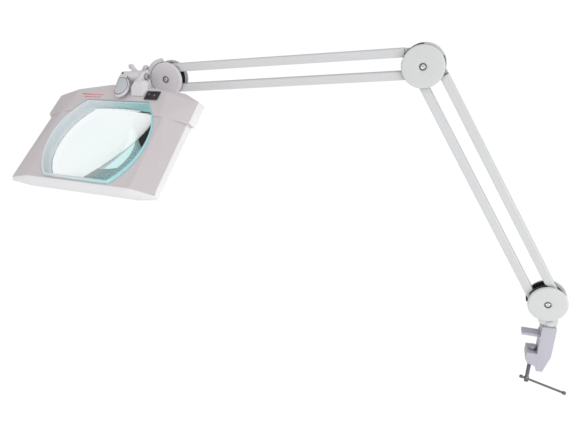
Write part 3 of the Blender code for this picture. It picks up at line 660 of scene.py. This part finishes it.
# The late cuts are the swivel socket and the screw's hole.
piece("clamp_casting", prism(CLAMP_OUTLINE, -15, 15), CLAMP_FRAME, "clamp", CAST,
      cuts=[box(-60, -12.2, 9, 30, -5, 12), box(-60, -12.2, -30, -9, -5, 12)],
      bevel=1.3, segs=4, angle=16,
      late=[cyl(7.8, -14, 40, "Z", segs=96), cyl(3.3, -70, -10, "Z", (SCREW_X, 0, 0))],
      replaces="clamp_body")
piece("swivel_socket_bush", lathe(BUSH_PROFILE, 96, "Z"), CLAMP_FRAME, "clamp", BLACK,
      replaces="swivel_bush")
piece("clamp_screw_threaded", thread(radius=3.0, depth=0.55, pitch=1.5, z0=-85.4, z1=-29.6),
      SCREW_FRAME, "clamp_screw", CHROME, sharp=60, replaces="clamp_screw")
piece("clamp_screw_head", lathe(SCREW_HEAD_PROFILE, 64, "Z"), SCREW_FRAME, "clamp_screw",
      CHROME, late=[turned(cyl(2.1, -12, 12, "X", (0, 0, BAR_Z)), BAR_TURN, "Z")])
piece("clamp_screw_tip", lathe(SCREW_TIP_PROFILE, 48, "Z"), SCREW_FRAME, "clamp_screw",
      CHROME)
piece("clamp_pad", lathe(PAD_PROFILE, 96, "Z"), SCREW_FRAME, "pressure_pad", STEEL,
      replaces="pressure_pad")
BAR_FRAME = (SCREW_FRAME @ Matrix.Translation((0, 0, BAR_Z))
             @ Matrix.Rotation(math.radians(BAR_TURN), 4, "Z"))
piece("sliding_bar", lathe(BAR_PROFILE, 48, "X"), BAR_FRAME, "tbar", CHROME,
      replaces="tbar")
piece("sliding_bar_cap", lathe(BAR_CAP_PROFILE, 48, "X"), BAR_FRAME, "tbar", CHROME,
      replaces="tbar_cap")

# --------------------------------------------------------------------------
# base fork, friction discs, pins
# --------------------------------------------------------------------------
CHEEK_IN, CHEEK_OUT = 8.1, 10.1             # fork and yoke cheeks, from the middle plane


def pin_places(origin, *nodes):
    centres = [centre_of(node) for node in nodes]
    return [(c.x - origin.x, 0, c.z - origin.z) for c in centres]


def shaft_hole():
    return cyl(3.4, -20, 20)


def pin_holes(pins):
    return [cyl(2.8, -20, 20, centre=pin) for pin in pins]


BASE_PINS = pin_places(BASE, "base_pivot_pin_a", "base_pivot_pin_b")
WRIST_PINS = pin_places(WRIST, "wrist_pivot_pin_c", "wrist_pivot_pin_d")
NECK_X = CLAMP_FRAME.translation.x - BASE.x
NECK_BOTTOM = -40.7
neck_outline = [(-10, -20), (-8, -36), (2, NECK_BOTTOM), (NECK_X + 9, NECK_BOTTOM),
                (NECK_X + 9, -36), (21, -12)]
neck_flange = [(0, -40.6), (12.5, -40.6), (12.5, -33.5), (10.5, -31.5), (0, -31.5)]
piece("base_fork", prism(circle(27.5, 96), -CHEEK_OUT, CHEEK_OUT), BASE_FRAME, "base",
      ENAMEL,
      joins=[prism(neck_outline, -CHEEK_OUT, CHEEK_OUT),
             lathe(neck_flange, 72, "Z", (NECK_X, 0, 0)),
             cyl(6.1, -76, -38, "Z", (NECK_X, 0, 0), 72)],
      cuts=[box(-40, 40, -CHEEK_IN, CHEEK_IN, -27.2, 60)], bevel=0.7, segs=3, angle=24,
      late=pin_holes(BASE_PINS) + [shaft_hole()], replaces="base_bracket")

BASE_RIMS = {"front": arc(31.5, 101, 159, 40) + arc(26.3, 164, 456, 110),
             "rear": arc(31.5, 76, 200, 60) + arc(26.3, 205, 431, 90)}
for side, sign in SIDES:
    for body, at, rim, pins in (("base", BASE_FRAME, BASE_RIMS[side], BASE_PINS),
                                ("wrist", WRIST_FRAME, circle(24.6, 128), WRIST_PINS)):
        piece(f"{body}_disc_{side}", prism(rim, *sorted((sign * 6.6, sign * 7.8))), at, body,
              BLACK, bevel=0.25, segs=2,
              late=[shaft_hole()] + pin_holes(pins),
              replaces=f"{body}_friction_disc_{side}")

for name in list(NODES):
    if "_pin_" not in name:
        continue
    low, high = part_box(name)
    y0, y1 = low[1] * 1000, high[1] * 1000
    centre = centre_of(name)
    pin_profile = [(0, y0), (2.1, y0), (2.5, y0 + 0.4), (2.5, y1 - 0.4), (2.1, y1), (0, y1)]
    piece(name + "_turned", lathe(pin_profile, 40), Matrix.Translation((centre.x, 0, centre.z)),
          name.split("_")[0], STEEL, replaces=name)

# CAD nodes that stay, and how far their edges are rounded
EDGE_WIDTHS = {
    "elbow_plate_front": 0.35, "elbow_plate_rear": 0.35,
    "lower_tongue_a": 0.5, "lower_tongue_b": 0.5,
    "upper_tongue_c": 0.5, "upper_tongue_d": 0.5,
    "lamp_holder_left": 0.5, "lamp_holder_right": 0.5,
    "lamp_diffuser_left": 0.4, "lamp_diffuser_right": 0.4, "ballast": 0.6}
for name, width in EDGE_WIDTHS.items():
    soften(name, width)

# --------------------------------------------------------------------------
# wrist yoke
# --------------------------------------------------------------------------
CANT = -3.6                                 # lean of the swivel seat in degrees
SEAT_X = -56.0
web = arc_band(35.5, 24.9, 120, 226, 60)
band = arc_band(35.1, 28.4, 121, 225, 60)
pocket = (arc(26.7, 90, 118, 12) + arc(25.05, 120, 226, 40)
          + arc(26.7, 228, 270, 16) + [(40, -40), (40, 40)])
seat = [(0, -26.2), (11.9, -26.2), (11.9, -18.3), (0, -18.3)]
piece("wrist_housing", prism(circle(25.5, 128), -CHEEK_OUT, CHEEK_OUT), WRIST_FRAME,
      "wrist", WRIST_ENAMEL,
      joins=[prism(web, -CHEEK_OUT, CHEEK_OUT), prism(band, -13.4, 13.4),
             turned(box(-50, -19.5, -9.7, 9.7, -26, -18.4), CANT, "Y"),
             turned(lathe(seat, 72, "Z", (SEAT_X, 0, 0)), CANT, "Y")],
      cuts=[prism(pocket, -CHEEK_IN, CHEEK_IN)], bevel=0.9, segs=4, angle=26,
      late=[turned(cyl(4.4, -40, 0, "Z", (SEAT_X, 0, 0)), CANT, "Y"), shaft_hole()]
      + pin_holes(WRIST_PINS),
      replaces="wrist_yoke")

# --------------------------------------------------------------------------
# head swivel knuckle, bolts and knobs
# --------------------------------------------------------------------------
KNUCKLE_TILT = (11.0, -38.0, 10.0)          # tilt axis in the swivel frame
EYE_START, EYE_END = 15.0, 37.0             # knuckle's eye along X in the swivel frame
EYE_AXIS = (0, KNUCKLE_TILT[1], KNUCKLE_TILT[2])
LUG = EYE_END - KNUCKLE_TILT[0] + 0.3       # lug's near face along the tilt axis
HUB_END = EYE_START - KNUCKLE_TILT[0] - 0.3
BOLT_RADIUS = 3.3                           # hole for the tilt bolt
eye = [(0, EYE_START), (9.4, EYE_START), (9.4, EYE_END), (0, EYE_END)]
piece("knuckle", lathe([(0, -18.0), (11.4, -18.0), (11.4, -8.3), (0, -8.3)], 72, "Z"),
      SWIVEL_FRAME, "swivel_knuckle", KNOB_SATIN,
      joins=[box(-8, 9, -24, -4, -17.9, -8.4), box(0, EYE_END - 0.3, -31, -18, -17.8, 4),
             lathe(eye, 64, "X", EYE_AXIS),
             box(EYE_START + 0.1, EYE_END - 0.1, -37, -24, 1, 17.5)],
      blob=(0.62, 5), sharp=80,
      late=[cyl(4.4, -40, 10, "Z"), cyl(BOLT_RADIUS, -20, 60, "X", EYE_AXIS)],
      replaces="swivel_knuckle")
# radius, z
SWIVEL_BOLT = [(0, -31), (5.9, -31), (6.5, -30.4), (6.5, -26.8), (6.1, -26.3),
               (4.0, -26.3), (4.0, 7.4), (3.5, 8), (0, 8)]
piece("swivel_bolt_turned", lathe(SWIVEL_BOLT, 64, "Z"), SWIVEL_FRAME, "swivel_knuckle",
      STEEL, late=[cyl(3.0, -34, -29.4, "Z", segs=6)], replaces="swivel_bolt")

# wing knob: one wing as x, z, and the hub as radius, z
wing = [(x, z + 10) for x, z in
        [(5, -1), (10, 3.5), (14, 8.5), (17.5, 12.2)]
        + arc(4.5, -60, 130, 24, (19.6, 16.4)) + [(12.5, 15.2), (8, 11.4), (5, 10)]]
other_wing = [(-x, z) for x, z in wing][::-1]
WING_HUB = [(0, 0), (9.4, 0), (9.8, 0.8), (8.6, 14), (7.6, 17.5), (5.5, 20.2), (0, 20.8)]
WING_FRAME = (SWIVEL_FRAME @ Matrix.Translation((0, 0, -8.0))
              @ Matrix.Rotation(math.radians(-12), 4, "Z"))
piece("wing_knob", lathe(WING_HUB, 72, "Z"), WING_FRAME, "swivel_wing_knob", KNOB_SATIN,
      joins=[prism(wing, -2.9, 2.9), prism(other_wing, -2.9, 2.9)],
      blob=(0.6, 6), sharp=80, late=[cyl(4.4, -5, 17.0, "Z")],
      replaces="swivel_wing_knob")

# paddle knob: a hub on the tilt axis and a flat ear, outlined in x, y
PADDLE_TURN = -3                            # degrees about the tilt axis
EAR_CENTRE = (7.2, -37.0)
PADDLE_HUB = [(0, -14.5), (5.2, -14.5), (7.4, -13.2), (8.0, -11.0),
              (8.0, HUB_END - 0.6), (7.4, HUB_END), (0, HUB_END)]
ear = ([(-13.0, -4), (2.4, -4), (3.4, -10.6), (9.5, -14), (15.6, -22), (19.0, -30)]
       + arc(12.6, 12, -178, 40, EAR_CENTRE) + [(-8.6, -26), (-12.6, -13)])
ear_top = ([(-10.5, -9), (1.5, -9), (8.0, -14), (14.6, -22), (18.4, -30)]
           + arc(12.0, 12, -178, 40, EAR_CENTRE) + [(-8.0, -26)])


def paddle_layer(factor, z0, z1):
    """The ear's top outline shrunk about its middle, as a thin layer."""
    x0, y0 = 3.0, -27.0
    outline = [(x0 + (x - x0) * factor, y0 + (y - y0) * factor) for x, y in ear_top]
    return turned(prism(outline, z0, z1, "Z"), PADDLE_TURN, "X")


piece("paddle_knob", lathe(PADDLE_HUB, 64, "X"), TILT_FRAME, "tilt_paddle_knob",
      KNOB_SATIN,
      joins=[turned(prism(ear, 2.8, 7.3, "Z"), PADDLE_TURN, "X")], blob=(0.5, 4), sharp=80,
      late=[cyl(BOLT_RADIUS, -30, 30, "X")], replaces="tilt_paddle_knob")
# A brown ring round the inlay: painted shadow for the dark outline of the ear
piece("paddle_rim", paddle_layer(0.95, 6.4, 7.38), TILT_FRAME, "tilt_paddle_knob",
      SHADOW_BROWN, bevel=0.2, segs=2)
piece("paddle_inlay", paddle_layer(0.87, 6.6, 7.6), TILT_FRAME, "tilt_paddle_knob",
      KNOB_INLAY, bevel=0.35, segs=3)
STUD = [(0, 9.2), (0.9, 9.1), (1.6, 8.6), (1.8, 7.6), (1.8, 6.0), (0, 6.0)]
piece("paddle_stud", lathe(STUD, 32, "Z", (-8.6, 0, 0)),
      TILT_FRAME @ Matrix.Rotation(math.radians(4), 4, "X"), "tilt_paddle_knob", BLACK)
# radius, x
TILT_BOLT = [(0, LUG + 12.0), (4.4, LUG + 12.0), (5.2, LUG + 11.5), (5.6, LUG + 10.6),
             (5.6, LUG + 8.6), (5.4, LUG + 8.4), (3.0, LUG + 8.4), (3.0, -5.6), (2.6, -6),
             (0, -6)]
piece("tilt_bolt_turned", lathe(TILT_BOLT, 64, "X"), TILT_FRAME, "head", STEEL,
      late=[cyl(2.6, LUG + 10.2, LUG + 14, "X", segs=6)], replaces="tilt_bolt")

# --------------------------------------------------------------------------
# head shells
# --------------------------------------------------------------------------
SEAM = -20.0                                # height where the two shells meet
CAVITY = SEAM - 5                           # the top shell's cavity runs past the seam
BASIN = SEAM + 4                            # and so does the bottom shell's
WALL = 2.6
LENS_RADIUS, LENS_HALF = 95.0, 72.2         # round opening, cut flat at +-Y
SHELL_GAP = 3.3                             # from the lens outline to the shells
SWITCH_X, SWITCH_Y = 66.0, 86.5
BRIDGE_LOW, BRIDGE_HIGH = (49, 4.8), (94, 6)    # y, z of the rear part's sloping top

# hull corners as x, y, z, each also mirrored in x
front_outer = mirrored([
    (104, -77.5, -2.5), (104, 52, 3), (144.5, -78.5, -12.5), (140, 52, -12.5),
    (147.5, -82, SEAM), (144, 52, SEAM), (100, -82.5, -5.5), (100, -86.5, SEAM)])
bridge_outer = mirrored([
    (97, *BRIDGE_LOW), (91, *BRIDGE_HIGH), (145, 50, -8.8), (144, 90.5, -8.8),
    (111, 106, -8.5), (149.5, 48.5, SEAM), (149, 91, SEAM),
    (114, 109, SEAM), (24, 106, 6.4), (60, 110, -8.5), (60, 111.5, SEAM)])
front_inner = mirrored([
    (102, -75.5, -2.8 - WALL), (102, 60, 1 - WALL), (141, -76, -14.5),
    (137, 60, -14.5), (143.5, -79, CAVITY), (140, 60, CAVITY),
    (98, -79.6, -8.6), (98, -83, CAVITY)])
bridge_inner = mirrored([
    (96, 51.5, 4.2 - WALL), (90, 92, 5.4 - WALL), (142, 52.5, -11.2), (141.5, 88.5, -11.2),
    (109.5, 103.5, -10.8), (145.5, 52, CAVITY), (145.5, 89, CAVITY),
    (112, 106, CAVITY), (23, 103.6, 5.6 - WALL), (59, 107.3, -10.8),
    (59, 108.7, CAVITY)])
bottom_outer = mirrored([
    (143, -79.5, SEAM - 0.3), (139, 88, SEAM - 0.3), (100, -83.5, SEAM - 0.3),
    (110, 104, SEAM - 0.3), (58, 107.5, SEAM - 0.3), (134, -74, -33.5),
    (128, 80, -33.5), (104, -79, -33.5), (100, 97, -33.5)])
bottom_inner = mirrored([
    (137.5, -75, BASIN), (132, 84, BASIN), (98, -79.2, BASIN), (105, 100.5, BASIN),
    (131, -71, -31.2), (125, 77, -31.2), (102, -76, -31.2), (98, 94, -31.2)])


def lens_prism(offset, z0, z1):
    """The lens outline grown by an offset: two arcs joined by flat sides."""
    radius, half = LENS_RADIUS + offset, LENS_HALF + offset
    reach = math.degrees(math.asin(half / radius))
    outline = arc(radius, -reach, reach, 48) + arc(radius, 180 - reach, 180 + reach, 48)
    return prism(outline, z0, z1, "Z")


def switch_box(half_x, half_y, z0, z1):
    return box(SWITCH_X - half_x, SWITCH_X + half_x, SWITCH_Y - half_y, SWITCH_Y + half_y,
               z0, z1)


def lit_faces_white(obj):
    """Painted light: faces turned to the front and to the right, where the light falls, get the white copy of the
    shell plastic.
    """
    obj.data.materials.append(SHELL_WHITE_AND_LIT)
    to_head = (Matrix.Scale(MM, 4) @ HEAD_FRAME).inverted()
    turn = HEAD_FRAME.to_3x3().inverted()
    for face in obj.data.polygons:
        centre = to_head @ face.center
        normal = turn @ face.normal
        lit_right_side = centre.z < -8.0 and normal.x > 0.45 and centre.x > 99
        if lit_right_side or (centre.y < -78.6 and normal.y < -0.3):
            face.material_index = 1


piece("head_top", rounded(hull(front_outer), 0.8), HEAD_FRAME, "head", SHELL_PINK,
      joins=[rounded(hull(bridge_outer), 0.8)], sharp=30,
      late=[hull(front_inner), hull(bridge_inner), lens_prism(SHELL_GAP, -60, 60),
            switch_box(11, 6.8, -5, 20)],
      shade=lit_faces_white, replaces="head_top_shell")
# The bottom shell takes the white copy of the shell plastic: painted light for its brightly lit lip.
# The boxes open the underside below the lamps.
piece("head_bottom", rounded(hull(bottom_outer), 1.0), HEAD_FRAME, "head", SHELL_WHITE_AND_LIT,
      sharp=30,
      late=[hull(bottom_inner), lens_prism(SHELL_GAP, -60, 60),
            box(103, 124, -62, 62, -50, -25), box(-124, -103, -62, 62, -50, -25)],
      replaces="head_bottom_shell")

# --------------------------------------------------------------------------
# collar and lens
# --------------------------------------------------------------------------
LENS_INSET = 4.4                            # from the opening to the edge of the glass
LENS_EDGE, LENS_CROWN = 5.0, 10.5           # edge thickness, rise of each face
piece("collar", lens_prism(3, -33, 3.2), HEAD_FRAME, "head", COLLAR_AQUA_GLINT,
      cuts=[lens_prism(-4, -60, 60), lens_prism(0, -12.2, 20), lens_prism(0, -50, -17.8)],
      bevel=0.55, segs=3, angle=50, sharp=40, replaces="lens_collar")


def lens_body(radius, edge, crown, steps=16):
    """Biconvex lens with a small chamfer round its edge."""
    sphere = (radius * radius + crown * crown) / (2 * crown)
    profile = [(radius * i / steps,
                edge / 2 + math.sqrt(sphere * sphere - (radius * i / steps) ** 2)
                - (sphere - crown)) for i in range(steps + 1)]
    profile[-1] = (radius - 0.5, profile[-1][1] + 0.05)
    profile.append((radius, edge / 2 - 0.5))
    profile += [(r, -height) for r, height in reversed(profile)]
    return lathe(profile, 192, "Z")


piece("lens", lens_body(LENS_RADIUS - LENS_INSET, LENS_EDGE, LENS_CROWN),
      HEAD_FRAME @ Matrix.Translation((0, 0, -15.0)), "head", GLASS,
      meets=[box(-120, 120, -LENS_HALF + LENS_INSET, LENS_HALF - LENS_INSET, -30, 30)],
      sharp=25, replaces="magnifying_lens")

# --------------------------------------------------------------------------
# switch and stripes
# --------------------------------------------------------------------------
piece("switch_bezel", switch_box(12.6, 8.2, 6.3, 7.9), HEAD_FRAME, "head", BLACK,
      joins=[switch_box(10.6, 6.4, -10, 7.0)],
      cuts=[switch_box(8.6, 4.9, -3, 20)], bevel=0.45, segs=3, replaces="switch_housing")
STRIPES = [(-78.5, -33.5, 83.6, 85.4), (-71.5, -36.0, 78.6, 80.0)]     # x0, x1, y0, y1
SLOPE_RUN = BRIDGE_HIGH[0] - BRIDGE_LOW[0]
SLOPE_RISE = BRIDGE_HIGH[1] - BRIDGE_LOW[1]
for k, (x0, x1, y0, y1) in enumerate(STRIPES):
    z = BRIDGE_LOW[1] + (0.5 * (y0 + y1) - BRIDGE_LOW[0]) * SLOPE_RISE / SLOPE_RUN
    piece(f"plain_stripe_{k}", box(x0, x1, y0, y1, z - 0.4, z + 0.06), HEAD_FRAME, "head",
          STRIPE_RED)
ROCKER_FRAME = HEAD_FRAME @ Matrix.Translation((SWITCH_X, SWITCH_Y, 6.6))
ROCKER_OUTLINE = [(-8.0, 2.6), (-8.0, -1.5), (0, -4.2), (8.0, -1.5), (8.0, 0.8), (0, 0.6)]
piece("rocker", prism(ROCKER_OUTLINE, -4.5, 4.5), ROCKER_FRAME, "switch_rocker", BLACK,
      bevel=0.4, segs=3, angle=12, replaces="switch_rocker")
piece("rocker_on_mark", turned(box(-5.4, -5.0, -1.4, 1.4, 1.3, 1.5), 14, "Y"),
      ROCKER_FRAME, "switch_rocker", MARK_WHITE, bevel=0.05, segs=1)
OFF_RING = [(1.0, 0.62), (1.35, 0.62), (1.35, 0.82), (1.0, 0.82)]
piece("rocker_off_mark", lathe(OFF_RING, 40, "Z", (4.6, 0, 0)), ROCKER_FRAME,
      "switch_rocker", MARK_WHITE)

# --------------------------------------------------------------------------
# rear hood, with the lug for the tilt bolt
# --------------------------------------------------------------------------
TILT_AXIS = (0, TILT_Y, TILT_Z)
HOOD_CORNERS = [(24.5, 84, 6.0), (49, 84, 6.0), (21.5, 92, 5.6), (52.4, 96, 5.6),
                (21.5, 110, 5.2), (46, 112, 5.2), (26, 88, 10), (46, 88, 10),
                (23.5, 95, 14), (47, 96, 12.5), (26, 104, 17), (40, 105, 16.5),
                (24, 113, 14), (44, 112, 12)]
lug = [(0, LUG + 0.1), (9.2, LUG + 0.1), (9.2, LUG + 8.0), (0, LUG + 8.0)]
piece("rear_hood", hull(HOOD_CORNERS), HEAD_FRAME, "head", KNOB_SATIN,
      joins=[lathe(lug, 64, "X", TILT_AXIS),
             box(LUG + 0.15, LUG + 7.9, 104, 122, 6.85, 15.9)],
      cuts=[cyl(11, 0, LUG, "X", TILT_AXIS, 72)],
      blob=(0.6, 8), sharp=80, late=[cyl(BOLT_RADIUS, -60, 90, "X", TILT_AXIS)],
      replaces="head_bracket")

# --------------------------------------------------------------------------
# lamps in the underside of the head: two joined fingers and a cap each
# --------------------------------------------------------------------------
FINGER_RADIUS, FINGER_END = 5.2, -58
LAMP_Z = -23.5


def finger(x):
    tip = [(FINGER_RADIUS * math.sin(math.radians(a)),
            FINGER_END + FINGER_RADIUS * (1 - math.cos(math.radians(a))))
           for a in (15, 30, 45, 60, 75, 90)]
    profile = [(0, FINGER_END)] + tip + [(FINGER_RADIUS, 42), (0, 42)]
    return lathe(profile, 48, "Y", (x, 0, LAMP_Z))


for side, sign in (("left", -1), ("right", 1)):
    link = cyl(2.4, *sorted((sign * 108, sign * 120)), "X", (0, -51, LAMP_Z), 32)
    piece(f"lamp_{side}", finger(sign * 108.4), HEAD_FRAME, "head", LAMP_GLASS,
          joins=[finger(sign * 119.6), link],
          replaces=f"lamp_tube_{side}", sharp=50)
    cap = box(*sorted((sign * 103.8, sign * 124.2)), 36, 52, -29, -18)
    piece(f"lamp_{side}_cap", rounded(cap, 1.2), HEAD_FRAME, "head", SHELL_WHITE_AND_LIT)


# --------------------------------------------------------------------------
# floor
# --------------------------------------------------------------------------
def stage_material():
    """Soft diffuse floor that reads as evenly lit white to the camera."""
    shader = new_shader("studio_white")
    shader.principled({
        "Base Color": shader.two_tone(shader.noise(scale=0.7, detail=2), (0.90, 0.90, 0.90),
                                      (0.91, 0.91, 0.91)),
        "Roughness": 0.9, "Specular IOR Level": 0.1})
    glow = shader.node("Emission", {"Color": (1, 1, 1), "Strength": 1.06})
    path = shader.node("LightPath", {}).outputs
    seen = shader.maths("MAXIMUM", path["Is Camera Ray"], path["Is Transmission Ray"])
    blend = shader.node("MixShader", {
        0: shader.maths("MULTIPLY", seen, 0.88),
        1: shader.nodes["Principled BSDF"].outputs[0], 2: glow.outputs[0]})
    shader.output("Surface", blend.outputs[0])
    return shader.owner


floor_mesh = bmesh.new()
bmesh.ops.create_grid(floor_mesh, x_segments=1, y_segments=1, size=60000)
floor = to_object("studio_floor", floor_mesh, Matrix.Translation((0, 0, -420)))
paint(floor, stage_material())

# --------------------------------------------------------------------------
# light: a soft dome, brighter towards the front right, and two area lights
# --------------------------------------------------------------------------
world = bpy.data.worlds.new("studio")
bpy.context.scene.world = world
dome = Shader(world)
facing = dome.node("VectorMath", {
    0: dome.node("TexCoord", {}).outputs["Generated"],
    1: (0.80, -0.58, 0.10)}, operation="DOT_PRODUCT")
strength = dome.remap(facing.outputs["Value"], source=(-1, 1), target=(0.36, 1.02))
dome.fill(dome.nodes["Background"], {"Strength": strength, "Color": (1, 1, 1)})


def area(name, at, target, size, power):
    """Rectangular light aimed at a target; metres and watts."""
    light = bpy.data.lights.new(name, "AREA")
    light.shape = "RECTANGLE"
    light.size, light.size_y = size
    light.energy = power
    obj = bpy.data.objects.new(name, light)
    obj.location = at
    obj.rotation_euler = (Vector(target) - Vector(at)).to_track_quat("-Z", "Y").to_euler()
    bpy.context.scene.collection.objects.link(obj)


area("front_right", at=(0.95, -0.9, 0.10), target=(-0.02, 0, 0.25), size=(0.7, 0.6),
     power=3.8)
area("front_low", at=(-0.55, -1.3, -0.25), target=(-0.7, -0.15, 0.3), size=(0.9, 0.5),
     power=1.8)

# --------------------------------------------------------------------------
# camera, in metres
# --------------------------------------------------------------------------
CAMERA_PLACE = (-0.1490, -0.9177, 0.5749)
CAMERA_AIM = (-0.2687, 0.8777, -0.3968)     # viewing direction
camera = bpy.data.cameras.new("camera")
camera.sensor_fit = "HORIZONTAL"
camera.sensor_width = 36
camera.lens = 38.17
camera.clip_start = 0.01
camera_object = bpy.data.objects.new("camera", camera)
forward = Vector(CAMERA_AIM).normalized()
right = forward.cross(Vector((0, 0, 1))).normalized()
pose = Matrix((right, right.cross(forward), -forward)).transposed().to_4x4()
pose.translation = Vector(CAMERA_PLACE)
camera_object.matrix_world = pose
bpy.context.scene.collection.objects.link(camera_object)
bpy.context.scene.camera = camera_object
bpy.context.scene.view_settings.view_transform = "Standard"
